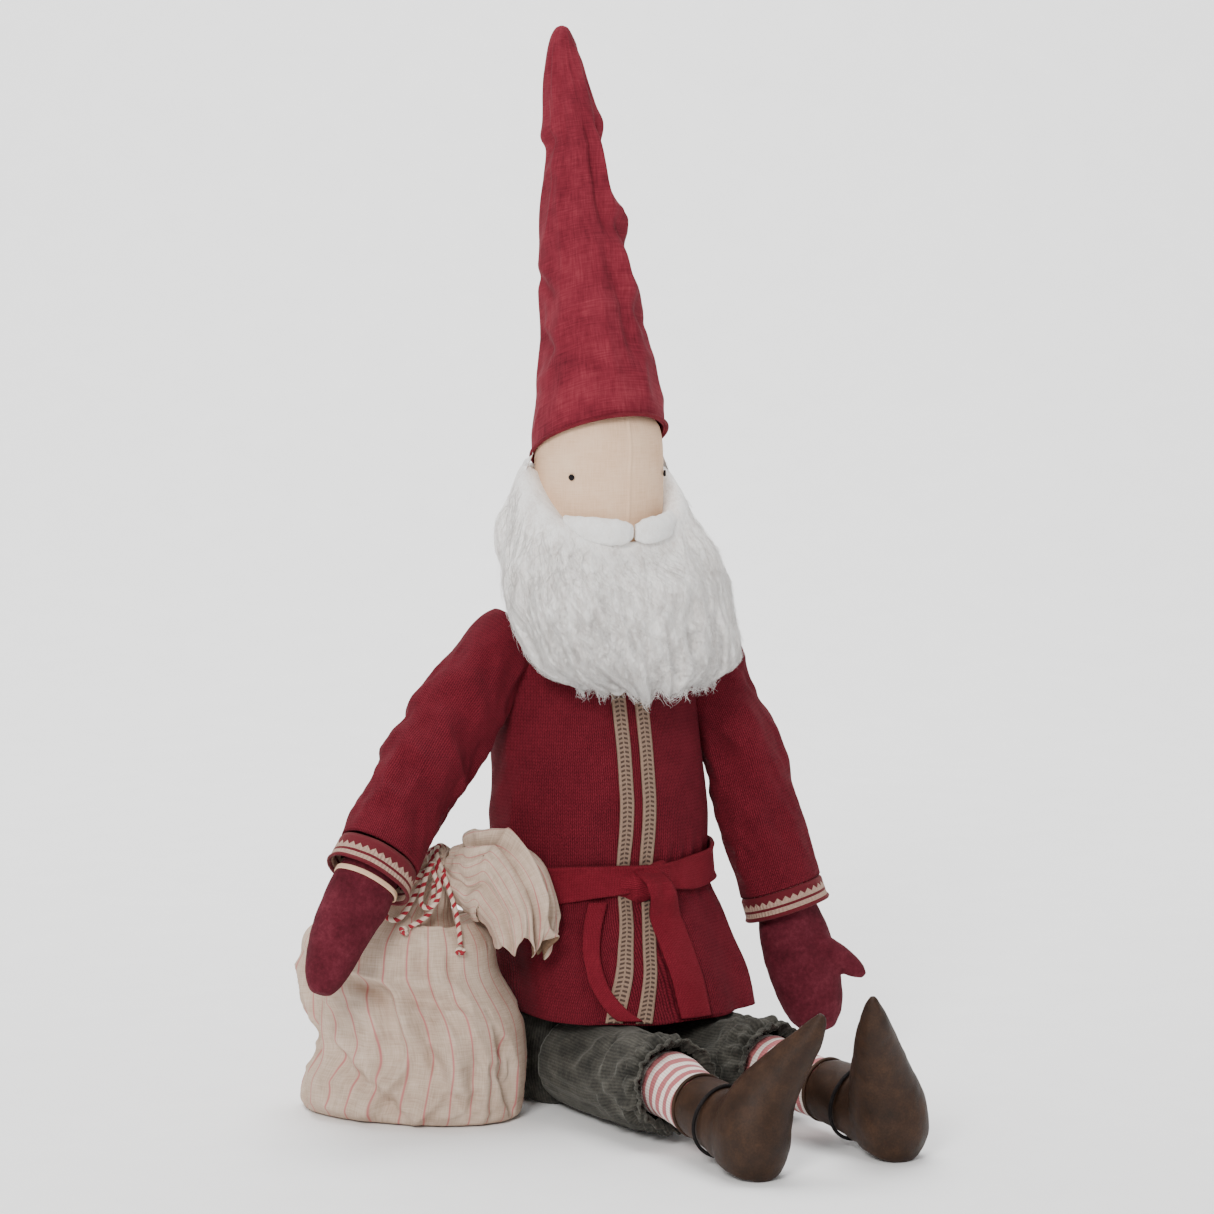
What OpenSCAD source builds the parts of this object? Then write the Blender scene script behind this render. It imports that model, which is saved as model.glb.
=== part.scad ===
// Seated tomte doll: a soft cloth gnome with a tall hat, beard, knitted coat, boots and a tied linen sack.
// Millimetres. +Z is up, the doll faces -Y, its right hand is on the -X side. The origin is on the floor
// under the middle of the seat.

/* [Head] */
// Height of the hat's tip above the floor
hat_tip_z = 725; // [700:5:760]
// Radius of the head at the brow
head_r = 43.5; // [42.5:0.5:44]
// Gap between the stuffing and the cloth around it
lining_gap = 0.4; // [0.3:0.1:0.8]
// Thickness of the hat's linen with its lining
hat_cloth = 1.3; // [1:0.1:1.4]
// Diameter of a stitched eye
eye_d = 4; // [3:0.5:6]

/* [Coat] */
// Thickness of the felted knit
knit = 3.2; // [2:0.2:4]
// Height of the coat's hem above the floor over the thighs
hem_z = 66; // [66:1:70]
// Height of the coat's hem at the back
back_hem_z = 42; // [40:1:50]
// Height of the belt's middle
belt_z = 155; // [152:1:158]
// Width of the belt's waist loop
belt_w = 24; // [20:1:28]
// Thickness of the belt
belt_t = 3.4; // [2.5:0.1:4]
// Width of one crocheted front band
band_w = 10; // [8:0.5:12]
// Distance between the middles of the two front bands
band_pitch = 17; // [15:0.5:20]

/* [Arms] */
// Radius of the sleeve's round top in the shoulder
shoulder_r = 25; // [23:0.5:27]
// Sideways place of the shoulder joints
shoulder_x = 72; // [70:1:76]
// Height of the shoulder joints
shoulder_z = 311; // [305:1:315]
// Width of the border on a cuff
cuff_w = 17; // [14:1:20]

/* [Legs] */
// Sideways place of the tops of the legs
hip_x = 35; // [34:1:37]
// How far the right leg turns towards the left
yaw_right = 3; // [2:1:4]
// How far the left leg turns outwards
yaw_left = 11; // [10:1:12]
// Radius of a stuffed thigh
thigh_r = 32; // [31:0.5:32]
// Length of a leg from its top to the heel
leg_len = 249; // [246:1:252]
// Diameter of the cord round a boot's ankle
ankle_cord_d = 2.4; // [2:0.2:3]

/* [Sack] */
// How far the sack is turned about the vertical
sack_turn = -47; // [-55:1:-40]
// Diameter of the two-colour twine
twine_d = 3.6; // [3:0.2:4]
// Diameter of a knot on a twine end
twine_knot_d = 8; // [7:0.5:9]

/* [Hidden] */

red_linen = [0.62, 0.20, 0.24];
red_knit = [0.45, 0.09, 0.14];
dark_red = [0.36, 0.08, 0.12];
mitten_wool = [0.52, 0.20, 0.25];
face_linen = [0.93, 0.87, 0.80];
white_wool = [0.95, 0.94, 0.93];
band_beige = [0.67, 0.55, 0.47];
corduroy = [0.33, 0.33, 0.31];
stocking_pink = [0.86, 0.66, 0.66];
boot_leather = [0.29, 0.20, 0.16];
sack_linen = [0.80, 0.75, 0.70];
twine_cotton = [0.85, 0.55, 0.52];
filling_white = [0.90, 0.90, 0.86];
pellet_grey = [0.55, 0.55, 0.52];

sides = 24;
fit = 0.5;
band_gap = 0.9;
head_turn = 12;
neck_x = 1.6;
thigh_lift = 9;
belt_low = belt_z - belt_w / 2;
belt_high = belt_z + belt_w / 2;

// Rows of the coat's outside from the hem up: [height, middle x, middle y, half width, half depth]
skirt_rows = [
    [38, 18, -20, 88, 90],
    [hem_z, 15, -16, 86, 84],
    [90, 11, -12, 83, 77],
    [118, 6, -6, 80, 68],
    [belt_low, 1, -1, 78, 60],
    [belt_z, 1, 0, 78, 57]
];
body_rows = [
    [belt_z, 1, 0, 78, 57],
    [185, 2, 1, 78, 56],
    [215, 2, 2, 76, 53],
    [245, 1, 3, 75, 50],
    [275, 0, 4, 73, 46],
    [300, 0, 5, 69, 41],
    [320, 0, 5, 60, 36],
    [334, 0, 5, 47, 30],
    [342, 0, 5, 33, 25]
];
torso_rows = [
    [44, 4, 0, 60, 48],
    [90, 5, 0, 66, 50],
    [belt_z, 1, 0, 73, 52]
];

// Rows of the head and of what is on it
head_rows = [
    [347, 1.6, 2, 24, 22],
    [356, 1.6, 0, 33, 30],
    [372, 1.6, -1, 39, 38],
    [395, 1.6, -1, 42.5, 42],
    [425, 1.6, 0, head_r, head_r],
    [450, 1.6, 0, 42.5, 42.5],
    [468, 1.6, 0, 36, 36],
    [480, 1.6, 0, 20, 20]
];
hat_rows = [
    [424, 1.6, 0, 45.6, 45.6],
    [452, 1.6, 0, 45, 45],
    [475, 0, 0, 42, 42],
    [498, -1.5, 0, 38.5, 38.5],
    [515, -4, 0, 35.5, 35.5],
    [538, -7, 0, 34, 34],
    [565, -8, 0, 29, 29],
    [600, -12, 0, 25, 25],
    [637, -14, 0, 19, 19],
    [655, -17, 0, 18, 18],
    [682, -22, 0, 14.8, 14.8],
    [702, -25, 0, 11.5, 11.5],
    [716, -26, 0, 8, 8],
    [hat_tip_z, -26, 0, 3, 3]
];
brim_mid_z = 446;
brim_slope = 0.467;
beard_rows = [
    [281, 13, -60, 38, 13],
    [292, 10, -58, 60, 19],
    [312, 5, -51, 73, 26],
    [332, 1, -42, 77, 32],
    [352, -2, -31, 79, 38],
    [376, -3, -20, 75, 42],
    [400, -3, -10, 67, 46],
    [422, -2, -3, 57, 46],
    [440, 1, 2, 48, 44.5]
];
// The wool's upper edge: its height over the chin and how steeply it climbs towards the back
beard_edge_z = 390;
beard_edge_slope = 0.72;
beard_clear = 8.5;
hair_rows = [
    [362, neck_x, 0, 54, 46],
    [376, neck_x, 0, 60, 50],
    [400, neck_x, 0, 63, 51],
    [422, neck_x, 0, 56, 50],
    [434, neck_x, 0, 50, 48]
];
hair_split_y = 6;
moustache_angles = [2, 8, 17, 28, 40, 50, 57];
moustache_half_t = [3.5, 5, 6, 5.6, 4.6, 3.2, 1.2];
moustache_half_h = [5.5, 8, 9, 8.5, 7, 4.5, 1.6];
moustache_z = [387, 387, 387.5, 388.5, 391, 394, 397];

// Middle lines of the arms: [x, y, z, half thickness, half width]
sleeve_path_right = [
    [-shoulder_x, 3, shoulder_z, 24, 24],
    [-94, -1, 284, 25, 28],
    [-116, -6, 257, 26, 30],
    [-137, -15, 233, 26, 31],
    [-157.5, -25, 209, 26, 31],
    [-178, -35.5, 184, 24.5, 29]
];
sleeve_path_left = [
    [shoulder_x, 3, shoulder_z, 24, 24],
    [87, 0, 280, 25, 26],
    [101, -5, 248, 25, 27],
    [111, -11, 212, 25, 28],
    [120, -17, 176, 25, 29],
    [130, -24, 136, 25, 29.5]
];
cuff_path_right = [
    [-179, -36, 182.7, 24.5, 29],
    [-190, -41.3, 168.4, 25, 29.5]
];
cuff_path_left = [
    [130.1, -24.1, 135.4, 25, 29.5],
    [134.1, -27.1, 119, 25.5, 30]
];
mitten_path_right = [
    [-190.4, -41.6, 167.4, 16, 22],
    [-198, -44.3, 154, 17, 24],
    [-207, -47.8, 138, 17, 25],
    [-217, -50.8, 120, 15, 23],
    [-223, -52.8, 107, 12, 19],
    [-227, -54.8, 98, 7, 11]
];
mitten_path_left = [
    [134.2, -27.3, 118, 17, 22],
    [137, -29, 104, 18, 25],
    [142, -33, 84, 18, 26],
    [147, -38, 62, 17, 24],
    [150, -41, 46, 13, 19],
    [152, -43, 35, 7, 11]
];
thumb_path_right = [
    [-200, -34, 148, 7, 8],
    [-206, -26, 142, 7, 8],
    [-210, -20, 136, 5.5, 7],
    [-213, -16, 131, 3, 3]
];
thumb_path_left = [
    [150, -42, 96, 8, 9],
    [164, -48, 86, 8, 9],
    [174, -53, 78, 6, 7],
    [179, -56, 73, 3, 3]
];

// Sack: middle and rows in its own turned frame, long side along its x
sack_place = [-139, 1, 0];
sack_wall = 4;
sack_rows = [
    [0, -2, 0, 68, 38],
    [4, -1, 0, 77, 46],
    [26, 4, 0, 76, 51],
    [48, 8, 0, 72, 52],
    [72, 2, 0, 74, 52],
    [98, -8, 0, 69, 49],
    [120, -9, 0, 66, 44],
    [134, -4, 0, 52, 36]
];
sack_top_path = [
    [2, 0, 145, 36, 28],
    [9, 0, 154, 23, 20],
    [16, 0, 162, 15, 14.5],
    [23, 0, 167, 12.5, 12.5],
    [30, 0, 171, 12, 12]
];
ruffle_path = [
    [30.7, 0, 171.6, 11.5, 12],
    [41, 0, 177.5, 15, 18],
    [57, 0, 176, 20, 22],
    [72, -1, 164, 22, 23],
    [80, -2, 147, 22, 22],
    [83, -4, 129, 20, 18],
    [83, -5, 118, 17, 14]
];

// Twine routes in the sack's frame
loop_outer_route = [
    [20.4, -20, 170], [15.6, -20.5, 165.5], [9.6, -21, 161], [3.5, -23, 157], [-1.5, -28, 151.5],
    [-4, -34, 146.5], [-3, -38, 142.5], [1, -41, 139], [6.5, -40, 138.5], [10.5, -36, 142.5],
    [13, -31.5, 149], [15, -26.5, 155.5], [17.6, -23, 161.5], [20, -20.8, 166]
];
loop_inner_route = [
    [24.2, -20.5, 175], [21.6, -24, 168.5], [20.2, -26.5, 161], [19.2, -28.5, 154.5], [20, -30.5, 148.5],
    [23.5, -31, 146], [28, -29.5, 147.5], [30.5, -26, 153], [30, -23.5, 160], [26.6, -22.5, 166],
    [25, -22.5, 170]
];
end_left_route = [
    [23.6, -17, 160], [24, -18.5, 156.5], [24.6, -20.5, 152.5], [24.8, -23.6, 147], [24.6, -26.2, 142.4],
    [21.5, -30.6, 138.4], [18, -34, 136], [14, -37.8, 133.4]
];
end_right_route = [
    [31, -19.6, 168], [34, -19.5, 161], [36, -18.5, 154], [38, -18, 147.5], [40.5, -19.5, 141],
    [43, -22.5, 134.5], [45.5, -26, 128], [47, -29, 122]
];

function lerp(a, b, t) = a + (b - a) * t;
function unit(v) = v / norm(v);
function clampi(i, n) = max(0, min(n - 1, i));

// A smooth run through rows: steps rows for each gap
function curve_point(a, b, c, d, t) =
    ((2 * b) + (c - a) * t + (2 * a - 5 * b + 4 * c - d) * t * t + (3 * b - a - 3 * c + d) * t * t * t) / 2;
function smooth(rows, steps = 2) = [
    for (i = [0:len(rows) - 2]) for (k = [0:steps - 1])
        curve_point(rows[clampi(i - 1, len(rows))], rows[i], rows[i + 1],
                    rows[clampi(i + 2, len(rows))], k / steps),
    rows[len(rows) - 1]
];

// Level oval ring of a row [height, middle x, middle y, half width, half depth]; power 2 is an ellipse
function round_part(c, power) = sign(c) * pow(abs(c), 2 / power);
function level_ring(row, grow, power, n) = [
    for (i = [0:n - 1]) let (a = 360 * i / n) [
        row[1] + (row[3] + grow) * round_part(cos(a), power),
        row[2] + (row[4] + grow) * round_part(sin(a), power),
        row[0]
    ]
];
function level_rings(rows, grow = 0, power = 2, n = sides) =
    [for (r = rows) level_ring(r, grow, power, n)];

// Oval rings square to a path of rows [x, y, z, half size along side, half size across it]
function spot(row) = [row[0], row[1], row[2]];
function heading(path, i) =
    unit(spot(path[clampi(i + 1, len(path))]) - spot(path[clampi(i - 1, len(path))]));
function path_ring(path, i, side, grow, n) =
    let (t = heading(path, i), u = unit(side - (side * t) * t), v = cross(t, u)) [
        for (k = [0:n - 1]) let (a = 360 * k / n)
            spot(path[i]) + (path[i][3] + grow) * cos(a) * u + (path[i][4] + grow) * sin(a) * v
    ];
function path_rings(path, side, grow = 0, n = sides) =
    [for (i = [0:len(path) - 1]) path_ring(path, i, side, grow, n)];

// Closed solid over a run of rings
module skin(rings) {
    n = len(rings[0]);
    last = (len(rings) - 1) * n;
    polyhedron(
        points = [for (r = rings) for (p = r) p],
        faces = concat(
            [[for (k = [0:n - 1]) k]],
            [[for (k = [0:n - 1]) last + n - 1 - k]],
            [for (i = [0:len(rings) - 2]) for (k = [0:n - 1])
                [i * n + k, (i + 1) * n + k, (i + 1) * n + (k + 1) % n]],
            [for (i = [0:len(rings) - 2]) for (k = [0:n - 1])
                [i * n + k, (i + 1) * n + (k + 1) % n, i * n + (k + 1) % n]]
        ),
        convexity = 4
    );
}

// Round cord through a list of points
module cord_tube(route, d) {
    skin(path_rings([for (p = smooth(route, 1)) [p[0], p[1], p[2], d / 2, d / 2]], [0.1, 1, 0.2], 0, 8));
}

// Place of the coat's front at a height: rows may be the body's or the skirt's
function row_at(rows, z) =
    let (i = max([for (k = [0:len(rows) - 2]) rows[k][0] <= z ? k : 0]))
        lerp(rows[i], rows[i + 1], (z - rows[i][0]) / (rows[i + 1][0] - rows[i][0]));
function front_of(rows, power, x, z, out) =
    let (r = row_at(rows, z), q = min(0.98, abs(x - r[1]) / (r[3] + out)))
        r[2] - (r[4] + out) * pow(1 - pow(q, power), 1 / power);
function coat_front(x, z, out) =
    z < belt_z ? front_of(skirt_rows, lerp(2.6, 2, max(0, (z - 118) / (belt_z - 118))), x, z, out)
               : front_of(body_rows, 2, x, z, out);

// Rings of the coat's skirt, squarer at the hem than under the belt
function skirt_rings(grow) = [
    for (r = skirt_rows)
        level_ring(r, grow, lerp(2.6, 2, max(0, (r[0] - 118) / (belt_z - 118))), sides)
];

// Flat strip that lies on the coat's front: rows [height, middle x, half width], from the bottom up
module front_strip(rows, gap, t) {
    skin([
        for (r = rows) [
            [r[1] - r[2], coat_front(r[1] - r[2], r[0], gap), r[0]],
            [r[1], coat_front(r[1], r[0], gap), r[0]],
            [r[1] + r[2], coat_front(r[1] + r[2], r[0], gap), r[0]],
            [r[1] + r[2], coat_front(r[1] + r[2], r[0], gap + t), r[0]],
            [r[1], coat_front(r[1], r[0], gap + t), r[0]],
            [r[1] - r[2], coat_front(r[1] - r[2], r[0], gap + t), r[0]]
        ]
    ]);
}

// Half space under or over a plane that climbs along y
module below_slope(z, slope) {
    rotate([atan(slope), 0, 0]) translate([-200, -300, z * cos(atan(slope)) - 400]) cube([400, 600, 400]);
}
module above_slope(z, slope) {
    rotate([atan(slope), 0, 0]) translate([-200, -300, z * cos(atan(slope))]) cube([400, 600, 400]);
}

// Frame of a leg: its top is at the origin and the leg runs along -y
module at_leg(side) {
    translate([side * hip_x, -10, 0]) rotate([0, 0, side < 0 ? yaw_right : yaw_left]) children();
}
module at_thigh(side) {
    translate([0, -hip_at(side), thigh_r]) rotate([-thigh_lift, 0, 0]) children();
}
function knee_z(side) = thigh_r + (knee_at(side) - hip_at(side)) * tan(thigh_lift);
function hip_at(side) = side < 0 ? 102 : 95;
function knee_at(side) = side < 0 ? 146 : 125;

// Trunk

module torso_shape(grow) {
    skin(level_rings(concat(torso_rows, [
        for (r = [for (k = [1:len(body_rows) - 2]) body_rows[k]])
            [r[0], r[1], r[2], r[3] - knit - fit, r[4] - knit - fit]
    ]), grow));
}
// Room in the coat's side for the top of a sleeve over its whole swing
module armhole(side) {
    mirror([side < 0 ? 1 : 0, 0, 0]) translate([0, 29.5, 0]) rotate([90, 0, 0])
    linear_extrude(height = 56.5) {
        translate([shoulder_x, shoulder_z]) circle(r = shoulder_r + 1.2, $fn = 64);
        polygon([[48, 301], [61.5, 269], [73.5, 238.5], [76.5, 226], [100, 226], [100, shoulder_z],
                 [shoulder_x, shoulder_z]]);
    }
}
module torso_stuffing() {
    color(filling_white) difference() {
        torso_shape(0);
        for (side = [-1, 1]) {
            armhole(side);
            at_leg(side) thigh_shape(side, fit);
        }
    }
}
module pellet_shape(grow) {
    rows = [[6, 0, 4, 38, 24], [12, 0, 4, 50, 32], [26, 0, 4, 52, 34], [36, 0, 4, 40, 26]];
    skin(level_rings(rows, grow));
}
module pellet_bag() {
    color(pellet_grey) pellet_shape(0);
}
module coat_body() {
    color(red_knit) difference() {
        skin(level_rings(smooth(body_rows, 2)));
        torso_shape(fit);
        for (side = [-1, 1]) armhole(side);
        translate([0, 0, body_rows[0][0]]) cylinder(h = 4, r = 40, center = true);
    }
}
module coat_skirt() {
    color(red_knit) difference() {
        skin(skirt_rings(0));
        translate([0, 0, -0.5])
            skin(concat(skirt_rings(-knit), [level_ring([belt_z + 4, 1, 0, 78, 57], -knit, 2, sides)]));
        translate([-200, -300, 0]) cube([400, 300, hem_z]);
        below_slope(hem_z, -(hem_z - back_hem_z) / 70);
    }
}
module front_band(side) {
    drift = [[hem_z + 1, -24], [90, -16], [118, -8], [142, -2], [168, 0], [200, 4], [240, 4], [290, 3]];
    color(band_beige) front_strip([
        for (d = drift) [d[0], d[1] + side * band_pitch / 2, band_w / 2]
    ], band_gap, 1.2);
}
module front_band_right() {
    front_band(-1);
}
module front_band_left() {
    front_band(1);
}
module belt_loop() {
    rows = [[belt_low, 1, -0.5, 81.4, 65], [belt_z, 1, -0.5, 80.6, 62.4], [belt_high, 1, 0, 80.6, 61]];
    color(dark_red) difference() {
        skin(level_rings(rows, belt_t - 0.5));
        skin(level_rings([[belt_low - 2, 1, -0.5, 81.5, 65.3], rows[1], [belt_high + 2, 1, 0, 80.6, 60.8]]));
    }
}
module belt_knot() {
    color(dark_red) translate([7, coat_front(7, belt_z, belt_t + 12), belt_z - 1])
        skin(path_rings([[-15, 0, 0, 4, 6], [-9, -1, 0, 6, 9.5], [0, -2, 0, 7, 10.5], [9, -1, 0, 6, 9.5],
                         [15, 0, 0, 4, 6]], [0, -1, 0]));
}
module belt_end_wide() {
    color(dark_red) front_strip([
        [70, 9, 11.5], [90, 10, 12], [118, 10, 12], [139, 9, 10]
    ], 2.2, belt_t);
}
module belt_end_narrow() {
    color(dark_red) front_strip([
        [68, -30, 7], [80, -36, 4], [98, -40, 3.5], [118, -36, 4], [139, -22, 7]
    ], 2.2, belt_t);
}

// Seat and thighs

module trousers_seat() {
    color(corduroy) difference() {
        skin(level_rings([[0, 0, 2, 52, 38], [4, 0, 2, 60, 45], [20, 0, 2, 67, 51], [36, 0, 2, 66, 50],
                          [43.5, 0, 2, 62, 46]]));
        pellet_shape(fit);
        for (side = [-1, 1]) at_leg(side) thigh_shape(side, fit);
    }
}
module thigh_shape(side, grow) {
    difference() {
        translate([0, -24, thigh_r]) rotate([90, 0, 0])
            cylinder(h = hip_at(side) - 24, r = thigh_r + grow, $fn = 64);
        translate([0, -hip_at(side), thigh_r]) sphere(r = thigh_r + 1.7, $fn = 64);
    }
}
module thigh_right() {
    color(corduroy) at_leg(-1) thigh_shape(-1, 0);
}
module thigh_left() {
    color(corduroy) at_leg(1) thigh_shape(1, 0);
}

// Head

module head_shape(grow) {
    skin(level_rings(smooth(head_rows, 2), grow));
}
module head_stuffing() {
    color(face_linen) head_shape(0);
}
module eye(side) {
    color("black") translate([1.6 + side * (head_r + fit) * sin(51), -(head_r + fit) * cos(51), 426])
        rotate([90, 0, side * 51]) cylinder(h = 1.2, d = eye_d, $fn = 24);
}
module eye_right() {
    eye(-1);
}
module eye_left() {
    eye(1);
}
module moustache(side) {
    color(white_wool) skin(path_rings([
        for (k = [0:len(moustache_angles) - 1])
            let (reach = head_r + fit + moustache_half_t[k], a = moustache_angles[k])
                [1.6 + side * reach * sin(a), -1 - reach * cos(a), moustache_z[k],
                 moustache_half_t[k], moustache_half_h[k]]
    ], [0, -1, 0], 0, 16));
}
module moustache_right() {
    moustache(-1);
}
module moustache_left() {
    moustache(1);
}
// Room under the wool for a shoulder while the head turns
module shoulder_room(side) {
    translate([neck_x, 0, shoulder_z]) for (a = [-head_turn, head_turn]) rotate([0, 0, a])
        translate([side * shoulder_x, 3, 0]) sphere(r = 29, $fn = 48);
    translate([neck_x, 0, shoulder_z]) rotate([0, 0, (side < 0 ? 180 : 0) - head_turn])
        rotate_extrude(angle = 2 * head_turn, $fn = 96) translate([shoulder_x, 0]) circle(r = 29, $fn = 48);
}
module wool_shape() {
    difference() {
        skin(level_rings(smooth(beard_rows, 2)));
        head_shape(fit);
        above_slope(beard_edge_z + 46 * beard_edge_slope, beard_edge_slope);
        above_slope(brim_mid_z - 2.2, -brim_slope);
        for (side = [-1, 1]) shoulder_room(side);
        skin(level_rings(concat(body_rows, [[347, 0, 5, 33, 25]]), beard_clear, 2, 20));
    }
}
module beard() {
    color(white_wool) difference() {
        wool_shape();
        translate([-200, hair_split_y, 200]) cube([400, 200, 400]);
        for (side = [-1, 1]) moustache_cut(side);
    }
}
module moustache_cut(side) {
    hull() {
        for (k = [0, 3, 6])
            translate([neck_x + side * (head_r + 5) * sin(moustache_angles[k]),
                       -1 - (head_r + 5) * cos(moustache_angles[k]), moustache_z[k]])
                sphere(r = moustache_half_h[k] + 4, $fn = 24);
    }
}
module back_hair() {
    color(white_wool) difference() {
        skin(level_rings(smooth(hair_rows, 2)));
        head_shape(fit);
        above_slope(brim_mid_z - 2.2, -brim_slope);
        translate([-100, hair_split_y + fit - 200, 300]) cube([200, 200, 200]);
    }
}
module hat_shell(grow) {
    skin(level_rings(smooth(hat_rows, 1), grow));
}
module hat() {
    color(red_linen) difference() {
        hat_shell(0);
        skin(level_rings([for (r = hat_rows) [r[0] - 4, r[1], r[2], r[3], r[4]]], -hat_cloth));
        below_slope(brim_mid_z + 3, -brim_slope);
    }
}
module hat_hem() {
    color(dark_red) difference() {
        skin(level_rings([[415, 1.6, 0, 46.2, 46.2], [475, 1, 0, 46.2, 46.2]]));
        skin(level_rings([[410, 1.6, 0, 44.4, 44.4], [480, 1, 0, 44.4, 44.4]]));
        below_slope(brim_mid_z - 1.5, -brim_slope);
        above_slope(brim_mid_z + 2.5, -brim_slope);
    }
}
module hat_stiffener() {
    color(filling_white) skin(level_rings([
        for (k = [4:len(hat_rows) - 2]) let (r = hat_rows[k]) [r[0] - 6, r[1], r[2], r[3], r[4]]
    ], -hat_cloth - 1.6));
}

// Arms

function arm_path(side) = side < 0 ? sleeve_path_right : sleeve_path_left;
function cuff_path(side) = side < 0 ? cuff_path_right : cuff_path_left;
// An arm's path with a round top put before its first row
function domed(path, r) =
    let (back = unit(spot(path[0]) - spot(path[1]))) concat(
        [for (a = [15, 35, 55, 75]) let (p = spot(path[0]) + back * r * cos(a))
            [p[0], p[1], p[2], r * sin(a), r * sin(a)]],
        path
    );
module arm_stuffing(side) {
    inset = knit + fit;
    color(filling_white)
        skin(path_rings(domed(thinner(arm_path(side), inset), shoulder_r - inset), [0, -1, 0]));
}
module arm_stuffing_right() {
    arm_stuffing(-1);
}
module arm_stuffing_left() {
    arm_stuffing(1);
}
// A path made thinner all round
function thinner(path, d) = [for (r = path) [r[0], r[1], r[2], r[3] - d, r[4] - d]];
// A path carried straight on past its end, to cut an open end
function carried_on(path, reach) =
    let (last = path[len(path) - 1], p = spot(last) + unit(spot(last) - spot(path[len(path) - 2])) * reach)
        concat(path, [[p[0], p[1], p[2], last[3], last[4]]]);
module sleeve(side) {
    color(red_knit) difference() {
        skin(path_rings(domed(arm_path(side), shoulder_r), [0, -1, 0]));
        skin(path_rings(domed(thinner(carried_on(arm_path(side), 2), knit), shoulder_r - knit), [0, -1, 0]));
    }
}
module sleeve_right() {
    sleeve(-1);
}
module sleeve_left() {
    sleeve(1);
}
module cuff_border(side) {
    path = cuff_path(side);
    step = spot(path[1]) - spot(path[0]);
    color(band_beige) difference() {
        skin(path_rings(path, [0, -1, 0]));
        skin(path_rings([for (t = [-0.5, 1.5]) let (p = spot(path[0]) + step * t)
            [p[0], p[1], p[2], 19.5, 25]], [0, -1, 0]));
    }
}
module cuff_border_right() {
    cuff_border(-1);
}
module cuff_border_left() {
    cuff_border(1);
}
module mitten(side) {
    color(mitten_wool) {
        skin(path_rings(side < 0 ? mitten_path_right : mitten_path_left, [0, -1, 0]));
        skin(path_rings(side < 0 ? thumb_path_right : thumb_path_left, [0, -1, 0], 0, 16));
    }
}
module mitten_right() {
    mitten(-1);
}
module mitten_left() {
    mitten(1);
}
module mitten_lining_right() {
    color(face_linen) difference() {
        skin(path_rings([[-189, -41, 169.4, 17.8, 23.8], [-192, -42.1, 164.8, 18.6, 24.8]], [0, -1, 0]));
        skin(path_rings([[-187, -40.3, 172.4, 16.8, 22.8], [-194, -42.8, 161.8, 17.4, 24]], [0, -1, 0]));
        mitten(-1);
    }
}

// Legs

module trouser_leg(side) {
    run = (knee_at(side) - hip_at(side)) / cos(thigh_lift);
    color(corduroy) at_leg(side) difference() {
        at_thigh(side) rotate([90, 0, 0]) rotate_extrude($fn = 64) polygon(concat(
            [for (a = [-90:10:-10]) [thigh_r * cos(a), thigh_r * sin(a)]],
            [[thigh_r, 0], [thigh_r, run - 12], [thigh_r - 2, run - 4], [0, run - 4]]
        ));
        translate([0, -knee_at(side), knee_z(side)]) sphere(r = 22.6, $fn = 48);
    }
}
module trouser_leg_right() {
    trouser_leg(-1);
}
module trouser_leg_left() {
    trouser_leg(1);
}
module knee_hem(side) {
    color(corduroy) at_leg(side) translate([0, -knee_at(side), knee_z(side)])
        rotate([90 - thigh_lift, 0, 0]) translate([0, 0, -3.6]) rotate_extrude($fn = 64)
            polygon([[26.4, 0], [29.5, 0], [31.5, 8], [27.4, 8]]);
}
module knee_hem_right() {
    knee_hem(-1);
}
module knee_hem_left() {
    knee_hem(1);
}
module stocking_shape(side, grow) {
    knee = knee_at(side);
    translate([0, -knee, knee_z(side)]) sphere(r = 22 + grow, $fn = 48);
    skin(path_rings([
        [0, -knee - 1, knee_z(side), 21.9, 21.9],
        [0, -knee - 14, knee_z(side) - 1, 21.5, 21.5],
        [0, -188, thigh_r, 19, 19],
        [0, -199, thigh_r, 18, 18]
    ], [1, 0, 0], grow));
}
module stocking(side) {
    color(stocking_pink) at_leg(side) stocking_shape(side, 0);
}
module stocking_right() {
    stocking(-1);
}
module stocking_left() {
    stocking(1);
}
module boot(side) {
    inward = side < 0 ? 32 : -40;
    forward = side < 0 ? -34 : -28;
    tall = side < 0 ? 1 : 1.07;
    color(boot_leather) at_leg(side) difference() {
        union() {
            skin(path_rings([
                [0, -187, 33, 20, 20],
                [0, -202, 32, 21.5, 21.5],
                [0, -218, 29, 22, 22],
                [0, -232, 27, 23, 23],
                [0, -244, 26, 20, 20]
            ], [1, 0, 0]));
            translate([0, -leg_len, 0]) skin(level_rings([
                [0, 0, 3, 10, 12],
                [4, 0, 2, 18, 19],
                [16, 0, 0, 24, 25],
                [34 * tall, 0.06 * inward, 0, 24, 25],
                [52 * tall, 0.26 * inward, 0.12 * forward, 21, 22.5],
                [70 * tall, 0.52 * inward, 0.38 * forward, 17.5, 18],
                [86 * tall, 0.76 * inward, 0.68 * forward, 13, 13],
                [99 * tall, 0.92 * inward, 0.88 * forward, 7.5, 7.5],
                [108 * tall, inward, forward, 2.5, 2.5]
            ]));
        }
        stocking_shape(side, fit);
    }
}
module boot_right() {
    boot(-1);
}
module boot_left() {
    boot(1);
}
module ankle_cord(side) {
    color("black") at_leg(side) translate([0, -217, 29]) {
        rotate([90, 0, 0]) rotate_extrude($fn = 64) translate([22.6 + ankle_cord_d / 2, 0])
            circle(d = ankle_cord_d, $fn = 16);
        translate([side * 24, 0, -8]) sphere(d = 5, $fn = 24);
    }
}
module ankle_cord_right() {
    ankle_cord(-1);
}
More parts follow.
